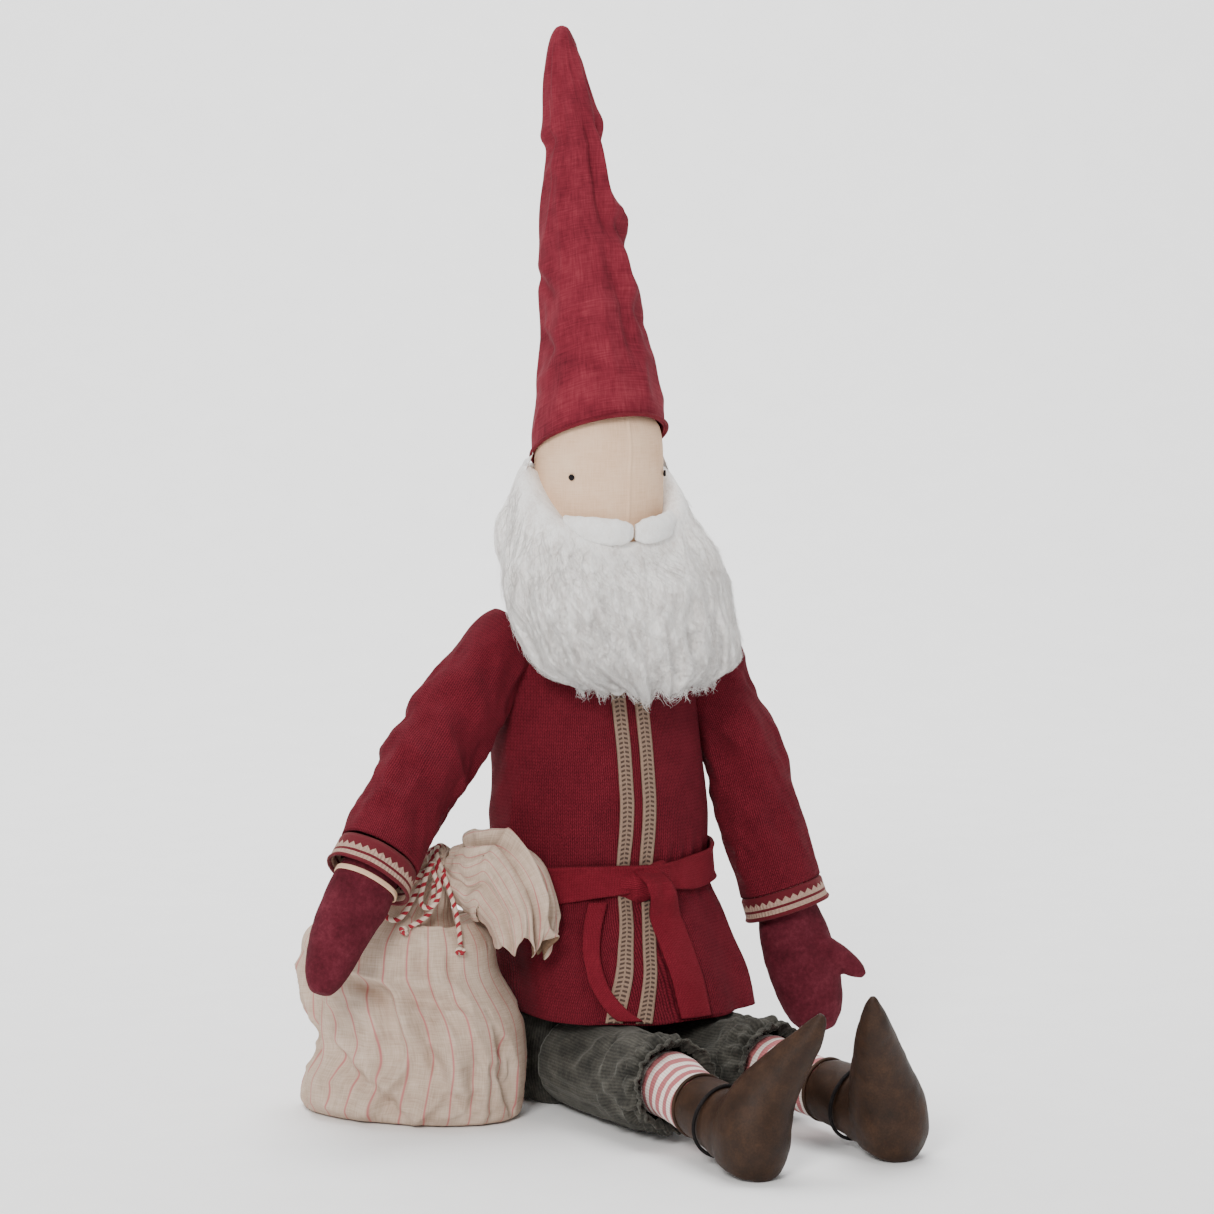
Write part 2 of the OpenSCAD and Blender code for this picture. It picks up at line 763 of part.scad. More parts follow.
module ankle_cord_left() {
    ankle_cord(1);
}

// Sack

module at_sack() {
    translate(sack_place) rotate([0, 0, sack_turn]) children();
}
module sack_shape(grow) {
    skin(concat(level_rings(sack_rows, grow), path_rings(sack_top_path, [1, 0, 0], grow)));
}
module sack_body() {
    color(sack_linen) at_sack() difference() {
        sack_shape(0);
        filling_shape(fit);
    }
}
module filling_shape(grow) {
    skin(level_rings([
        for (k = [1:len(sack_rows) - 1]) let (r = sack_rows[k])
            [r[0] + (k == 1 ? 1 : 0), r[1], r[2], r[3] - sack_wall, r[4] - sack_wall]
    ], grow));
}
module sack_filling() {
    color(filling_white) at_sack() filling_shape(0);
}
module sack_ruffle() {
    color(sack_linen) at_sack() difference() {
        skin(path_rings(ruffle_path, [1, 0, 0]));
        skin(path_rings([[68, -1, 166, 4, 4], [79, -2, 148, 16, 16], [84, -4.5, 124, 15, 12],
                         [84, -5.2, 108, 15, 12]], [1, 0, 0]));
    }
}
module twine_wraps() {
    color(twine_cotton) at_sack() translate([25, 0, 168.2]) rotate([0, 60, 0]) for (k = [-1, 1])
        translate([0, 0, k * twine_d / 2]) rotate_extrude($fn = 48) translate([13.2 + twine_d / 2, 0])
            circle(d = twine_d - 0.1, $fn = 16);
}
module twine_loop_outer() {
    color(twine_cotton) at_sack() cord_tube(loop_outer_route, twine_d);
}
module twine_loop_inner() {
    color(twine_cotton) at_sack() cord_tube(loop_inner_route, twine_d);
}
module twine_end_left() {
    color(twine_cotton) at_sack() cord_tube(end_left_route, twine_d);
}
module twine_end_right() {
    color(twine_cotton) at_sack() cord_tube(end_right_route, twine_d);
}
module twine_knot(route) {
    last = route[len(route) - 1];
    step = unit(last - route[len(route) - 2]);
    color(twine_cotton) at_sack() translate(last + step * (twine_knot_d / 2 + 0.15))
        sphere(d = twine_knot_d, $fn = 32);
}
module twine_knot_left() {
    twine_knot(end_left_route);
}
module twine_knot_right() {
    twine_knot(end_right_route);
}

torso_stuffing();
pellet_bag();
coat_body();
coat_skirt();
front_band_right();
front_band_left();
belt_loop();
belt_knot();
belt_end_wide();
belt_end_narrow();
trousers_seat();
thigh_right();
thigh_left();
head_stuffing();
eye_right();
eye_left();
moustache_right();
moustache_left();
beard();
back_hair();
hat();
hat_hem();
hat_stiffener();
sleeve_right();
sleeve_left();
arm_stuffing_right();
arm_stuffing_left();
cuff_border_right();
cuff_border_left();
mitten_right();
mitten_left();
mitten_lining_right();
trouser_leg_right();
trouser_leg_left();
knee_hem_right();
knee_hem_left();
stocking_right();
stocking_left();
boot_right();
boot_left();
ankle_cord_right();
ankle_cord_left();
sack_body();
sack_ruffle();
sack_filling();
twine_wraps();
twine_loop_outer();
twine_loop_inner();
twine_end_left();
twine_end_right();
twine_knot_left();
twine_knot_right();
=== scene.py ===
"""Looks of a seated tomte doll: linen hat and face, wool beard, knitted coat, corduroy trousers, striped
stockings, suede boots and a tied linen sack. Shapes are worked in millimetres and stored in metres."""

import math

import bpy
import numpy as np
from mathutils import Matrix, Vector


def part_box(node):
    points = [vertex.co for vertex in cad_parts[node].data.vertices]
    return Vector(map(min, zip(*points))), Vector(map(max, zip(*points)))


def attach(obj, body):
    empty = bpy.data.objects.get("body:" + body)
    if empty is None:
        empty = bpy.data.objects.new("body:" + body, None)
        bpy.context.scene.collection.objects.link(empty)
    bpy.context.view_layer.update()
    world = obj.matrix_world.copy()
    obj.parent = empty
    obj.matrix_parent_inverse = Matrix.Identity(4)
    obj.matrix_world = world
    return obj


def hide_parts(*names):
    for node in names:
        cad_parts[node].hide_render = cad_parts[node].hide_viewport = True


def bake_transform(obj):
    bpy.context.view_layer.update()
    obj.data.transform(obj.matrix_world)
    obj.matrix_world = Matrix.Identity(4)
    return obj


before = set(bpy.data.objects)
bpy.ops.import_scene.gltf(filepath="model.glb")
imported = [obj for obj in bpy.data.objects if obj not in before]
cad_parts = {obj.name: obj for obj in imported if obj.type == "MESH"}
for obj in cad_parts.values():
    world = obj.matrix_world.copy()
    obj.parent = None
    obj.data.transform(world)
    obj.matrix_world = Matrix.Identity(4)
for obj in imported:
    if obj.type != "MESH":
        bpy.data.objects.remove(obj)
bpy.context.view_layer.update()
rng = np.random.default_rng(11)

MM = 0.001

# ---- rows that the shapes share with the CAD
# Level ovals: height, middle x, middle y, half width, half depth
SKIRT = [[38, 13, -20, 83, 90], [66, 11, -16, 81, 84], [90, 9, -12, 80, 77], [118, 5, -6, 79, 68],
         [143, 1, -1, 78, 60], [157, 1, 0, 77, 57]]
BODY = [[150, 1, 0, 76, 55], [160, 1, 0, 77, 56], [185, 2, 1, 78, 56], [215, 2, 2, 76, 53],
        [245, 1, 3, 75, 50], [275, 0, 4, 73, 46], [300, 0, 5, 69, 41], [320, 0, 5, 60, 36],
        [334, 0, 5, 47, 30], [342, 0, 5, 33, 25]]
HEAD = [[347, 1.6, 2, 24, 22], [356, 1.6, 0, 33, 30], [372, 1.6, -1, 39, 38], [395, 1.6, -1, 42.5, 42],
        [425, 1.6, 0, 43.5, 43.5], [450, 1.6, 0, 42.5, 42.5], [468, 1.6, 0, 36, 36], [480, 1.6, 0, 20, 20]]
HAT = [[418, 1.6, 0, 45.8, 45.8], [452, 1.6, 0, 45.2, 45.2], [475, 0, 0, 42, 42], [498, -1.5, 0, 38.5, 38.5],
       [515, -4, 0, 35.5, 35.5], [538, -7, 0, 34, 34], [565, -8, 0, 29, 29], [600, -12, 0, 25, 25],
       [637, -14, 0, 19, 19], [655, -17, 0, 18, 18], [682, -22, 0, 14.8, 14.8], [702, -25, 0, 11.5, 11.5],
       [716, -26, 0, 8, 8], [723, -26, 0, 4.5, 4.5], [725, -26, 0, 1, 1]]
BEARD = [[281, 8, -60, 48, 14], [292, 6, -58, 67, 20], [312, 3, -51, 77, 27], [332, 0, -42, 80, 33],
         [352, -2, -31, 80, 38], [376, -3, -20, 75, 42], [400, -3, -10, 67, 46], [422, -2, -3, 57, 46],
         [440, 1, 2, 48, 44.5]]
HAIR = [[358, 1.6, 0, 46, 40], [366, 1.6, 0, 56, 47], [378, 1.6, 0, 60, 50], [400, 1.6, 0, 62, 51],
        [422, 1.6, 0, 55, 50], [440, 1.6, 0, 47, 45]]
SEAT = [[0, 0, 2, 46, 34], [3, 0, 2, 60, 45], [20, 0, 2, 67, 51], [36, 0, 2, 66, 50], [60, 0, 2, 60, 46]]
# Arms and hands: middle x, y, z, half size front to back, half size across
SLEEVES = {
    -1: [[-60, 4, 322, 20, 20], [-72, 3, 311, 24, 24], [-94, -1, 284, 25, 28], [-116, -6, 257, 26, 30],
         [-137, -15, 233, 26, 31], [-157.5, -25, 209, 26, 31], [-178, -35.5, 184, 24.5, 29]],
    1: [[62, 4, 324, 20, 20], [72, 3, 311, 24, 24], [87, 0, 280, 25, 26], [101, -5, 248, 25, 27],
        [111, -11, 212, 25, 28], [120, -17, 176, 25, 29], [130, -24, 136, 25, 29.5]]}
CUFFS = {
    -1: [[-178.6, -35.8, 183.4, 25, 29.5], [-190, -41.3, 168.6, 25.4, 30]],
    1: [[130.1, -24.1, 135.4, 25.4, 30], [134.1, -27.1, 119.4, 25.8, 30.4]]}
MITTENS = {
    -1: [[-184, -38.5, 176, 16, 20], [-191, -41.6, 167.4, 17, 22.5], [-200, -44.3, 154, 17, 22.5],
         [-211, -47.8, 138, 16.5, 20.5], [-220.5, -50.8, 120, 14.5, 17], [-226, -52.8, 107, 11.5, 12.5],
         [-229, -54.8, 99, 6.5, 7]],
    1: [[132, -26, 128, 16, 20], [134.2, -27.3, 118, 17, 22], [137, -29, 104, 18, 25], [142, -33, 84, 18, 26],
        [147, -38, 62, 17, 24], [150, -41, 46, 13, 19], [152, -43, 35, 7, 11]]}
THUMBS = {
    -1: [[-194, -42, 152, 6, 7], [-200, -34, 148, 7, 8], [-206, -26, 142, 7, 8], [-210, -20, 136, 5.5, 7],
         [-213, -16, 131, 3, 3]],
    1: [[140, -36, 100, 7, 8], [150, -42, 96, 8, 9], [164, -48, 86, 8, 9], [174, -53, 78, 6, 7],
        [179, -56, 73, 3, 3]]}
# Legs: where each turns out from, how far it turns and where it bends, along the leg
HIP_X, HIP_Y, THIGH_R, LIFT = 35, -10, 32, math.radians(9)
LEG_TURN = {-1: math.radians(3), 1: math.radians(11)}
HIP_AT = {-1: 102, 1: 95}
KNEE_AT = {-1: 146, 1: 125}
HEEL_AT = 249
# Sack in its own turned frame
SACK_PLACE, SACK_TURN = np.array([-139, 1, 0]), math.radians(-47)
SACK = [[0, -2, 0, 66, 36], [4, -1, 0, 77, 46], [26, 4, 0, 76, 51], [48, 8, 0, 72, 52], [72, 2, 0, 74, 52],
        [98, -8, 0, 69, 49], [120, -9, 0, 66, 44], [134, -4, 0, 52, 36]]
SACK_TOP = [[2, 0, 145, 36, 28], [9, 0, 154, 23, 20], [16, 0, 162, 15, 14.5], [23, 0, 167, 12.5, 12.5],
            [30, 0, 171, 12, 12]]
RUFFLE = [[26, 0, 168.6, 10, 11], [31, 0, 168.5, 14, 13], [37, 0, 166.5, 22, 18], [45, 0, 165.5, 27, 21],
          [56, 0, 163, 30, 23], [68, -1, 158, 28, 24], [77, -2, 144, 25, 23], [81, -4, 130, 21, 20],
          [82, -5, 119, 19, 17]]
# Furrows: angle and height of both ends, depth, half width
SACK_FOLDS = [[-61, 122, -53, 60, 6, 5], [-75, 56, -55, 14, 7, 5], [-124, 120, -80, 82, 6, 6],
              [-88, 92, -84, 34, 4.5, 5], [-42, 112, -4, 82, 4, 5], [-44, 50, -14, 22, 3.5, 5],
              [-130, 52, -98, 22, 6, 5], [-100, 30, -84, 4, 4, 4], [-30, 84, -22, 40, 4, 4],
              [60, 110, 90, 40, 5, 6], [140, 100, 120, 30, 5, 6], [-170, 110, 170, 40, 5, 6]]
HAT_FOLDS = [[-66, 662, -24, 640, 3, 5], [-70, 600, -22, 576, 3.5, 5], [-74, 548, -20, 524, 3.5, 6],
             [-92, 668, -76, 585, 3.5, 4], [-84, 580, -66, 505, 3.5, 4], [-124, 560, -112, 482, 2.5, 4],
             [-210, 640, -160, 652, 3, 5], [-212, 560, -165, 545, 3, 5], [-205, 520, -165, 508, 2.5, 5],
             [40, 640, 80, 600, 3, 5], [10, 560, 70, 530, 3, 5]]
# Head: the axis it turns on, how far, and the room that each shoulder needs
NECK_X, HEAD_TURN, SHOULDER_ROOM = 1.6, 12, 32
HEAD_LOW, HEAD_TOP, HAT_TIP, BRIM_R = 347, 480, 725, 45.6
# Heights where wool and cloth begin and end
BEARD_LOW, BEARD_SIDE, HAIR_LOW = 281, 423, 360
HEM_Z, SKIRT_TOP, BODY_LOW, BODY_TOP, BELT_Z = 66, 156, 150, 342, 155
# Knit columns and linen stripes, and how many of them go round a piece
WALE, STRIPE = 2.7, 14.4
COAT_GIRTH, SLEEVE_GIRTH, SACK_GIRTH = 160 * WALE, 66 * WALE, 28 * STRIPE
BOOT_TOP, SHAFT_Z, TROUSER_GIRTH = 187, 33, 200
TWINE_D, TWINE_PITCH = 3.6, 7.0
TWINE = {
    "twine_loop_outer": [
        [20.4, -20, 170], [15.6, -20.5, 165.5], [9.6, -21, 161], [3.5, -23, 157], [-1.5, -28, 151.5],
        [-4, -34, 146.5], [-3, -38, 142.5], [1, -41, 139], [6.5, -40, 138.5], [10.5, -36, 142.5],
        [13, -31.5, 149], [15, -26.5, 155.5], [17.6, -23, 161.5], [20, -20.8, 166]],
    "twine_loop_inner": [
        [24.2, -20.5, 175], [21.6, -24, 168.5], [20.2, -26.5, 161], [19.2, -28.5, 154.5], [20, -30.5, 148.5],
        [23.5, -31, 146], [28, -29.5, 147.5], [30.5, -26, 153], [30, -23.5, 160], [26.6, -22.5, 166],
        [25, -22.5, 170]],
    "twine_end_left": [
        [23.6, -17, 160], [24, -18.5, 156.5], [24.6, -20.5, 152.5], [24.8, -23.6, 147], [24.6, -26.2, 142.4],
        [21.5, -30.6, 138.4], [18, -34, 136], [14, -37.8, 133.4]],
    "twine_end_right": [
        [31, -19.6, 168], [34, -19.5, 161], [36, -18.5, 154], [38, -18, 147.5], [40.5, -19.5, 141],
        [43, -22.5, 134.5], [45.5, -26, 128], [47, -29, 122]]}


# ---- numbers: noise, curves, ovals
def lattice(i, j, k, seed):
    h = (i * 374761393 + j * 668265263 + k * 974634777 + seed * 69069) & 0xFFFFFFFF
    h = ((h ^ (h >> 13)) * 1274126177) & 0xFFFFFFFF
    return ((h ^ (h >> 16)) & 0xFFFF) / 32767.5 - 1


def noise(p, seed=0):
    """Smooth noise from -1 to 1 at points of any shape (..., 3)."""
    base = np.floor(p).astype(np.int64)
    f = p - base
    f = f * f * f * (f * (f * 6 - 15) + 10)
    total = 0
    for dx in (0, 1):
        for dy in (0, 1):
            for dz in (0, 1):
                w = ((f[..., 0] if dx else 1 - f[..., 0]) * (f[..., 1] if dy else 1 - f[..., 1])
                     * (f[..., 2] if dz else 1 - f[..., 2]))
                total = total + w * lattice(base[..., 0] + dx, base[..., 1] + dy, base[..., 2] + dz, seed)
    return total


def crease(p, seed=0):
    """Soft hills with sharp valleys, as crumpled cloth has, from -1 to 1."""
    return 0.8 - 2 * np.sqrt(noise(p, seed) ** 2 + 0.01)


def furrows(angle, height, folds, radius):
    """Straight furrows with a ridge beside each."""
    lift = 0
    for a0, z0, a1, z1, depth, half in folds:
        run, rise = math.radians(a1 - a0) * radius, z1 - z0
        span = math.hypot(run, rise)
        u = ((angle - math.radians(a0 + a1) / 2 + math.pi) % (2 * math.pi) - math.pi) * radius
        w = height - (z0 + z1) / 2
        along = (u * run + w * rise) / span ** 2 + 0.5
        off = (w * run - u * rise) / span
        ends = step(-0.15, 0.25, along) * (1 - step(0.75, 1.15, along))
        ridge = 0.7 * np.exp(-((off - 1.9 * half) / half) ** 2)
        lift = lift + depth * ends * (ridge - np.exp(-(off / half) ** 2))
    return lift


def step(a, b, x):
    t = np.clip((x - a) / (b - a), 0, 1)
    return t * t * (3 - 2 * t)


def curve(rows, n):
    """n points of a smooth curve through the rows, evenly spaced in the rows' own parameter."""
    rows = np.array(rows, float)
    padded = np.vstack([2 * rows[0] - rows[1], rows, 2 * rows[-1] - rows[-2]])
    t = np.linspace(0, len(rows) - 1, n)
    i = np.minimum(t.astype(int), len(rows) - 2)
    f = (t - i)[:, None]
    a, b, c, d = (padded[i + k] for k in range(4))
    return (2 * b + (c - a) * f + (2 * a - 5 * b + 4 * c - d) * f ** 2 + (3 * b - a - 3 * c + d) * f ** 3) / 2


def rows_at(rows, z):
    """The rows' values at heights z of any shape, on smooth curves."""
    fine = curve(rows, 400)
    return [np.interp(z, fine[:, 0], fine[:, k]) for k in range(1, 5)]


def oval(rows, z, angle, power=2.0):
    x, y, half_w, half_d = rows_at(rows, z)
    c, s = np.cos(angle), np.sin(angle)
    return np.stack([x + half_w * np.sign(c) * np.abs(c) ** (2 / power),
                     y + half_d * np.sign(s) * np.abs(s) ** (2 / power), z], -1)


def turns(around):
    return np.arange(around) / around * 2 * math.pi


def round_at(angle, height=0.0, r=1.0):
    """Points on a circle: directions outwards, or places for noise that closes round a piece."""
    return np.stack([np.cos(angle) * r, np.sin(angle) * r, height + 0 * angle], -1)


def grid_of(P):
    """The angle round the piece, and the share of its length, at each point of a lofted grid."""
    return np.broadcast_to(turns(P.shape[1]), P.shape[:2]), np.linspace(0, 1, len(P))[:, None]


def swelled(P, angle, lift):
    """Points moved level, straight out from the piece's middle."""
    return P + round_at(angle) * lift[..., None]


def on_floor(P, least=0.3):
    P[..., 2] = np.maximum(P[..., 2], least)
    return P


def path_ovals(path, along, around, side=(0, -1, 0)):
    """Ovals square to a path of rows x, y, z, half size along side, half size across it."""
    p = curve(path, along)
    t = np.gradient(p[:, :3], axis=0)
    t /= np.linalg.norm(t, axis=1)[:, None]
    side = np.array(side, float)
    u = side - (t @ side)[:, None] * t
    u /= np.linalg.norm(u, axis=1)[:, None]
    v = np.cross(t, u)
    a = turns(around)
    return (p[:, None, :3] + p[:, None, 3:4] * np.cos(a)[None, :, None] * u[:, None]
            + p[:, None, 4:5] * np.sin(a)[None, :, None] * v[:, None])


def outwards(P):
    n = np.cross(np.roll(P, -1, 1) - np.roll(P, 1, 1), np.gradient(P, axis=0))
    return n / np.maximum(np.linalg.norm(n, axis=-1), 1e-9)[..., None]


def pushed(P, amount):
    return P + outwards(P) * np.asarray(amount)[..., None]


def lengths(P):
    """How far along the piece each row lies, and the piece's mean girth."""
    steps = np.linalg.norm(np.diff(P, axis=0), axis=-1).mean(1)
    girth = np.linalg.norm(np.roll(P, -1, 1) - P, axis=-1).sum(1).mean()
    return np.concatenate([[0], np.cumsum(steps)]), girth


# ---- meshes
def mesh_object(name, points, faces, material):
    data = bpy.data.meshes.new(name)
    data.from_pydata((np.asarray(points) * MM).tolist(), [], faces)
    data.polygons.foreach_set("use_smooth", [True] * len(data.polygons))
    data.materials.append(material)
    obj = bpy.data.objects.new(name, data)
    bpy.context.scene.collection.objects.link(obj)
    return obj


def loft(name, P, material, caps=(False, False), wrap=True, girth=None, thick=None):
    """Quads over a grid of points, with a UV map in millimetres: u round the piece and v along it."""
    along, around = P.shape[:2]
    v_at, mean_girth = lengths(P)
    girth = girth or mean_girth
    columns = around if wrap else around - 1
    faces, uvs = [], []
    for i in range(along - 1):
        for j in range(columns):
            k = (j + 1) % around
            faces.append((i * around + j, i * around + k, (i + 1) * around + k, (i + 1) * around + j))
            ua, ub = j / columns * girth, (j + 1) / columns * girth
            uvs += [ua, v_at[i], ub, v_at[i], ub, v_at[i + 1], ua, v_at[i + 1]]
    for wanted, row, flip in ((caps[0], 0, True), (caps[1], along - 1, False)):
        if wanted:
            ring = [row * around + j for j in range(around)]
            faces.append(tuple(reversed(ring)) if flip else tuple(ring))
            uvs += [0.0, v_at[row]] * around
    obj = mesh_object(name, P.reshape(-1, 3), faces, material)
    layer = obj.data.uv_layers.new(name="UVMap")
    layer.data.foreach_set("uv", uvs)
    if thick:
        wall = obj.modifiers.new("wall", "SOLIDIFY")
        wall.thickness = thick * MM
        wall.offset = -1
    return obj


def tube(name, route, d, material, side=(0.1, 1, 0.2), per_mm=0.8, around=14, twist=None):
    """A cord along a route, of two strands laid round each other where twist is their pitch."""
    run = np.linalg.norm(np.diff(np.array(route, float), axis=0), axis=1).sum()
    fine = curve(route, max(12, int(per_mm * run)))
    radius = np.full(len(fine), d / 2)
    P = path_ovals(np.column_stack([fine, radius, radius]), len(fine), around, side)
    if twist:
        at, _ = lengths(P)
        turn = turns(around)[None, :] - at[:, None] / twist * 2 * math.pi
        centre = P.mean(1, keepdims=True)
        P = centre + (P - centre) * (0.82 + 0.18 * np.abs(np.cos(turn)))[..., None]
    return loft(name, P, material, caps=(True, True), girth=1.0), fine


def fused(name, parts, material, voxel, smooth=6):
    """Closed lofts melted into one skin."""
    points, faces = [], []
    for P in parts:
        along, around = P.shape[:2]
        base = len(points)
        points += P.reshape(-1, 3).tolist()
        faces += [(base + i * around + j, base + i * around + (j + 1) % around,
                   base + (i + 1) * around + (j + 1) % around, base + (i + 1) * around + j)
                  for i in range(along - 1) for j in range(around)]
        faces.append(tuple(base + j for j in reversed(range(around))))
        faces.append(tuple(base + (along - 1) * around + j for j in range(around)))
    obj = mesh_object(name, points, faces, material)
    remesh = obj.modifiers.new("melt", "REMESH")
    remesh.mode = "VOXEL"
    remesh.voxel_size = voxel * MM
    soften = obj.modifiers.new("soften", "SMOOTH")
    soften.iterations = smooth
    soften.factor = 0.5
    apply_all(obj)
    obj.data.polygons.foreach_set("use_smooth", [True] * len(obj.data.polygons))
    return obj


def dress(obj, body, slot, *nodes, fill=None):
    """Hangs a piece on the empty of the body that it rides on and hides the CAD nodes that it stands for;
    what it is made of is not used.
    """
    if body:
        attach(obj, body)
    if nodes:
        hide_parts(*nodes)


def apply_all(obj):
    bpy.context.view_layer.update()
    final = bpy.data.meshes.new_from_object(obj.evaluated_get(bpy.context.evaluated_depsgraph_get()))
    obj.modifiers.clear()
    obj.data = final


def moved_vertices(obj, amount):
    """Moves each vertex along its normal by amount(points in mm)."""
    n = len(obj.data.vertices)
    co, normal = np.zeros(n * 3), np.zeros(n * 3)
    obj.data.vertices.foreach_get("co", co)
    obj.data.vertices.foreach_get("normal", normal)
    co, normal = co.reshape(-1, 3), normal.reshape(-1, 3)
    co += normal * (np.asarray(amount(co / MM)) * MM)[:, None]
    obj.data.vertices.foreach_set("co", co.ravel())
    obj.data.update()


# ---- materials
class Shade:
    """A Principled material with short calls for its nodes."""

    def __init__(self, name, rough=0.9, sheen=0.0, sheen_tint=(1, 1, 1), specular=0.3):
        self.material = bpy.data.materials.new(name)
        self.material.use_nodes = True
        self.tree = self.material.node_tree
        self.bsdf = self.tree.nodes["Principled BSDF"]
        self.set("Roughness", rough)
        self.set("Specular IOR Level", specular)
        self.set("Sheen Weight", sheen)
        self.set("Sheen Tint", (*sheen_tint, 1))
        self.set("Sheen Roughness", 0.5)

    def set(self, socket, value):
        self.bsdf.inputs[socket].default_value = value

    def node(self, kind, **inputs):
        n = self.tree.nodes.new(kind)
        for key, value in inputs.items():
            self.put(n.inputs[key.replace("_", " ")], value)
        return n

    def put(self, socket, value):
        if isinstance(value, bpy.types.NodeSocket):
            self.tree.links.new(value, socket)
        else:
            socket.default_value = value

    def math(self, op, a, b=0.0, c=0.0):
        n = self.tree.nodes.new("ShaderNodeMath")
        n.operation = op
        for socket, value in zip(n.inputs, (a, b, c)):
            self.put(socket, value)
        return n.outputs[0]

    def add(self, a, b):
        return self.math("ADD", a, b)

    def sub(self, a, b):
        return self.math("SUBTRACT", a, b)

    def mul(self, a, b):
        return self.math("MULTIPLY", a, b)

    def from_middle(self, a, middle=0.5):
        """How far a value is from the middle."""
        return self.math("ABSOLUTE", self.sub(a, middle))

    def uv(self):
        n = self.tree.nodes.new("ShaderNodeUVMap")
        n.uv_map = "UVMap"
        split = self.node("ShaderNodeSeparateXYZ", Vector=n.outputs[0])
        return split.outputs[0], split.outputs[1]

    def place(self):
        """Object coordinates in millimetres."""
        n = self.tree.nodes.new("ShaderNodeTexCoord")
        scale = self.tree.nodes.new("ShaderNodeVectorMath")
        scale.operation = "SCALE"
        self.tree.links.new(n.outputs["Object"], scale.inputs[0])
        scale.inputs["Scale"].default_value = 1000
        return scale.outputs[0]

    def vector(self, x, y, z=0.0):
        return self.node("ShaderNodeCombineXYZ", X=x, Y=y, Z=z).outputs[0]

    def noise(self, vector, scale, detail=3.0, roughness=0.6):
        n = self.node("ShaderNodeTexNoise", Vector=vector, Scale=scale, Detail=detail, Roughness=roughness)
        return n.outputs[0]

    def ramp(self, value, *stops):
        """Colours at positions: (position, (r, g, b)), ..."""
        n = self.tree.nodes.new("ShaderNodeValToRGB")
        self.tree.links.new(value, n.inputs[0])
        elements = n.color_ramp.elements
        while len(elements) < len(stops):
            elements.new(0.5)
        for element, (at, colour) in zip(elements, stops):
            element.position = at
            element.color = (*colour, 1)
        return n.outputs[0]

    def mix(self, amount, a, b, kind="MIX"):
        n = self.tree.nodes.new("ShaderNodeMix")
        n.data_type = "RGBA"
        n.blend_type = kind
        self.put(n.inputs[0], amount)
        for socket, value in ((n.inputs[6], a), (n.inputs[7], b)):
            self.put(socket, value if isinstance(value, bpy.types.NodeSocket) else (*value, 1))
        return n.outputs[2]

    def finish(self, colour, height, strength=0.5, depth=0.5):
        """Colour, and a bump whose height is in units of depth millimetres."""
        self.put(self.bsdf.inputs["Base Color"], colour)
        bump = self.node("ShaderNodeBump", Height=height, Strength=strength, Distance=depth * MM)
        self.tree.links.new(bump.outputs[0], self.bsdf.inputs["Normal"])
        return self.material


def linen(name, base, dark, light, thread=1.1, stripe=None):
    """Plain weave with slubs: long soft noise both ways over a fine grain."""
    s = Shade(name, rough=0.92, sheen=0.05, sheen_tint=light, specular=0.2)
    u, v = s.uv()
    across = s.noise(s.vector(s.mul(u, 1 / 14), s.mul(v, 1 / thread)), 1.0, 2.0)
    along = s.noise(s.vector(s.mul(u, 1 / thread), s.mul(v, 1 / 14)), 1.0, 2.0)
    weave = s.mul(s.add(across, along), 0.5)
    patches = s.noise(s.place(), 0.045, 4.0)
    tone = s.add(s.mul(weave, 0.62), s.mul(patches, 0.38))
    colour = s.ramp(tone, (0.34, dark), (0.5, base), (0.66, light))
    if stripe:
        pitch, width, tint = stripe
        at = s.from_middle(s.math("FRACT", s.mul(u, 1 / pitch)))
        sharp = 22.0
        mask = s.math("SMOOTH_MIN", s.mul(s.sub(width / pitch / 2, at), sharp), 1.0, 0.1)
        mask = s.math("MAXIMUM", mask, 0.0)
        worn = s.mul(mask, s.add(0.35, s.mul(weave, 0.9)))
        colour = s.mix(s.math("MINIMUM", worn, 0.9), colour, tint)
    return s.finish(colour, s.add(weave, s.mul(patches, 0.4)), 0.55, 0.5)


def knit(name, base, dark, light, wale=WALE, row=2.3, depth=0.8):
    """Felted stocking stitch: columns of V stitches under a short fuzz, with painted shade in the grooves
    between stitches.
    """
    s = Shade(name, rough=0.95, sheen=0.08, sheen_tint=light, specular=0.15)
    u, v = s.uv()
    wobble = s.mul(s.sub(s.noise(s.place(), 0.12, 2.0), 0.5), 1.4)
    x = s.mul(s.add(u, wobble), 1 / wale)
    t = s.mul(s.from_middle(s.math("FRACT", x)), 2.0)
    leg = s.sub(1.0, s.math("POWER", s.from_middle(s.mul(t, 2.0), 1.0), 2.0))
    y = s.math("FRACT", s.add(s.mul(v, 1 / row), s.mul(t, 0.85)))
    loop = s.math("SINE", s.mul(y, math.pi))
    stitch = s.mul(leg, s.add(0.45, s.mul(loop, 0.55)))
    fuzz = s.noise(s.place(), 0.55, 5.0, 0.75)
    patches = s.noise(s.place(), 0.05, 3.0)
    # The stitch shape darkens the colour between stitches: painted shade in the grooves
    tone = s.add(s.mul(stitch, 0.42),
                  s.add(s.mul(fuzz, 0.45), s.mul(patches, 0.22)))
    colour = s.ramp(tone, (0.22, dark), (0.5, base), (0.85, light))
    return s.finish(colour, s.add(stitch, s.mul(fuzz, 0.9)), 0.6, depth)


def felt(name, base, dark, light, grain=0.35):
    s = Shade(name, rough=0.95, sheen=0.1, sheen_tint=light, specular=0.15)
    fibres = s.noise(s.place(), grain, 6.0, 0.8)
    patches = s.noise(s.place(), 0.06, 3.0)
    tone = s.add(s.mul(fibres, 0.6), s.mul(patches, 0.4))
    return s.finish(s.ramp(tone, (0.33, dark), (0.5, base), (0.68, light)), fibres, 0.5, 0.7)


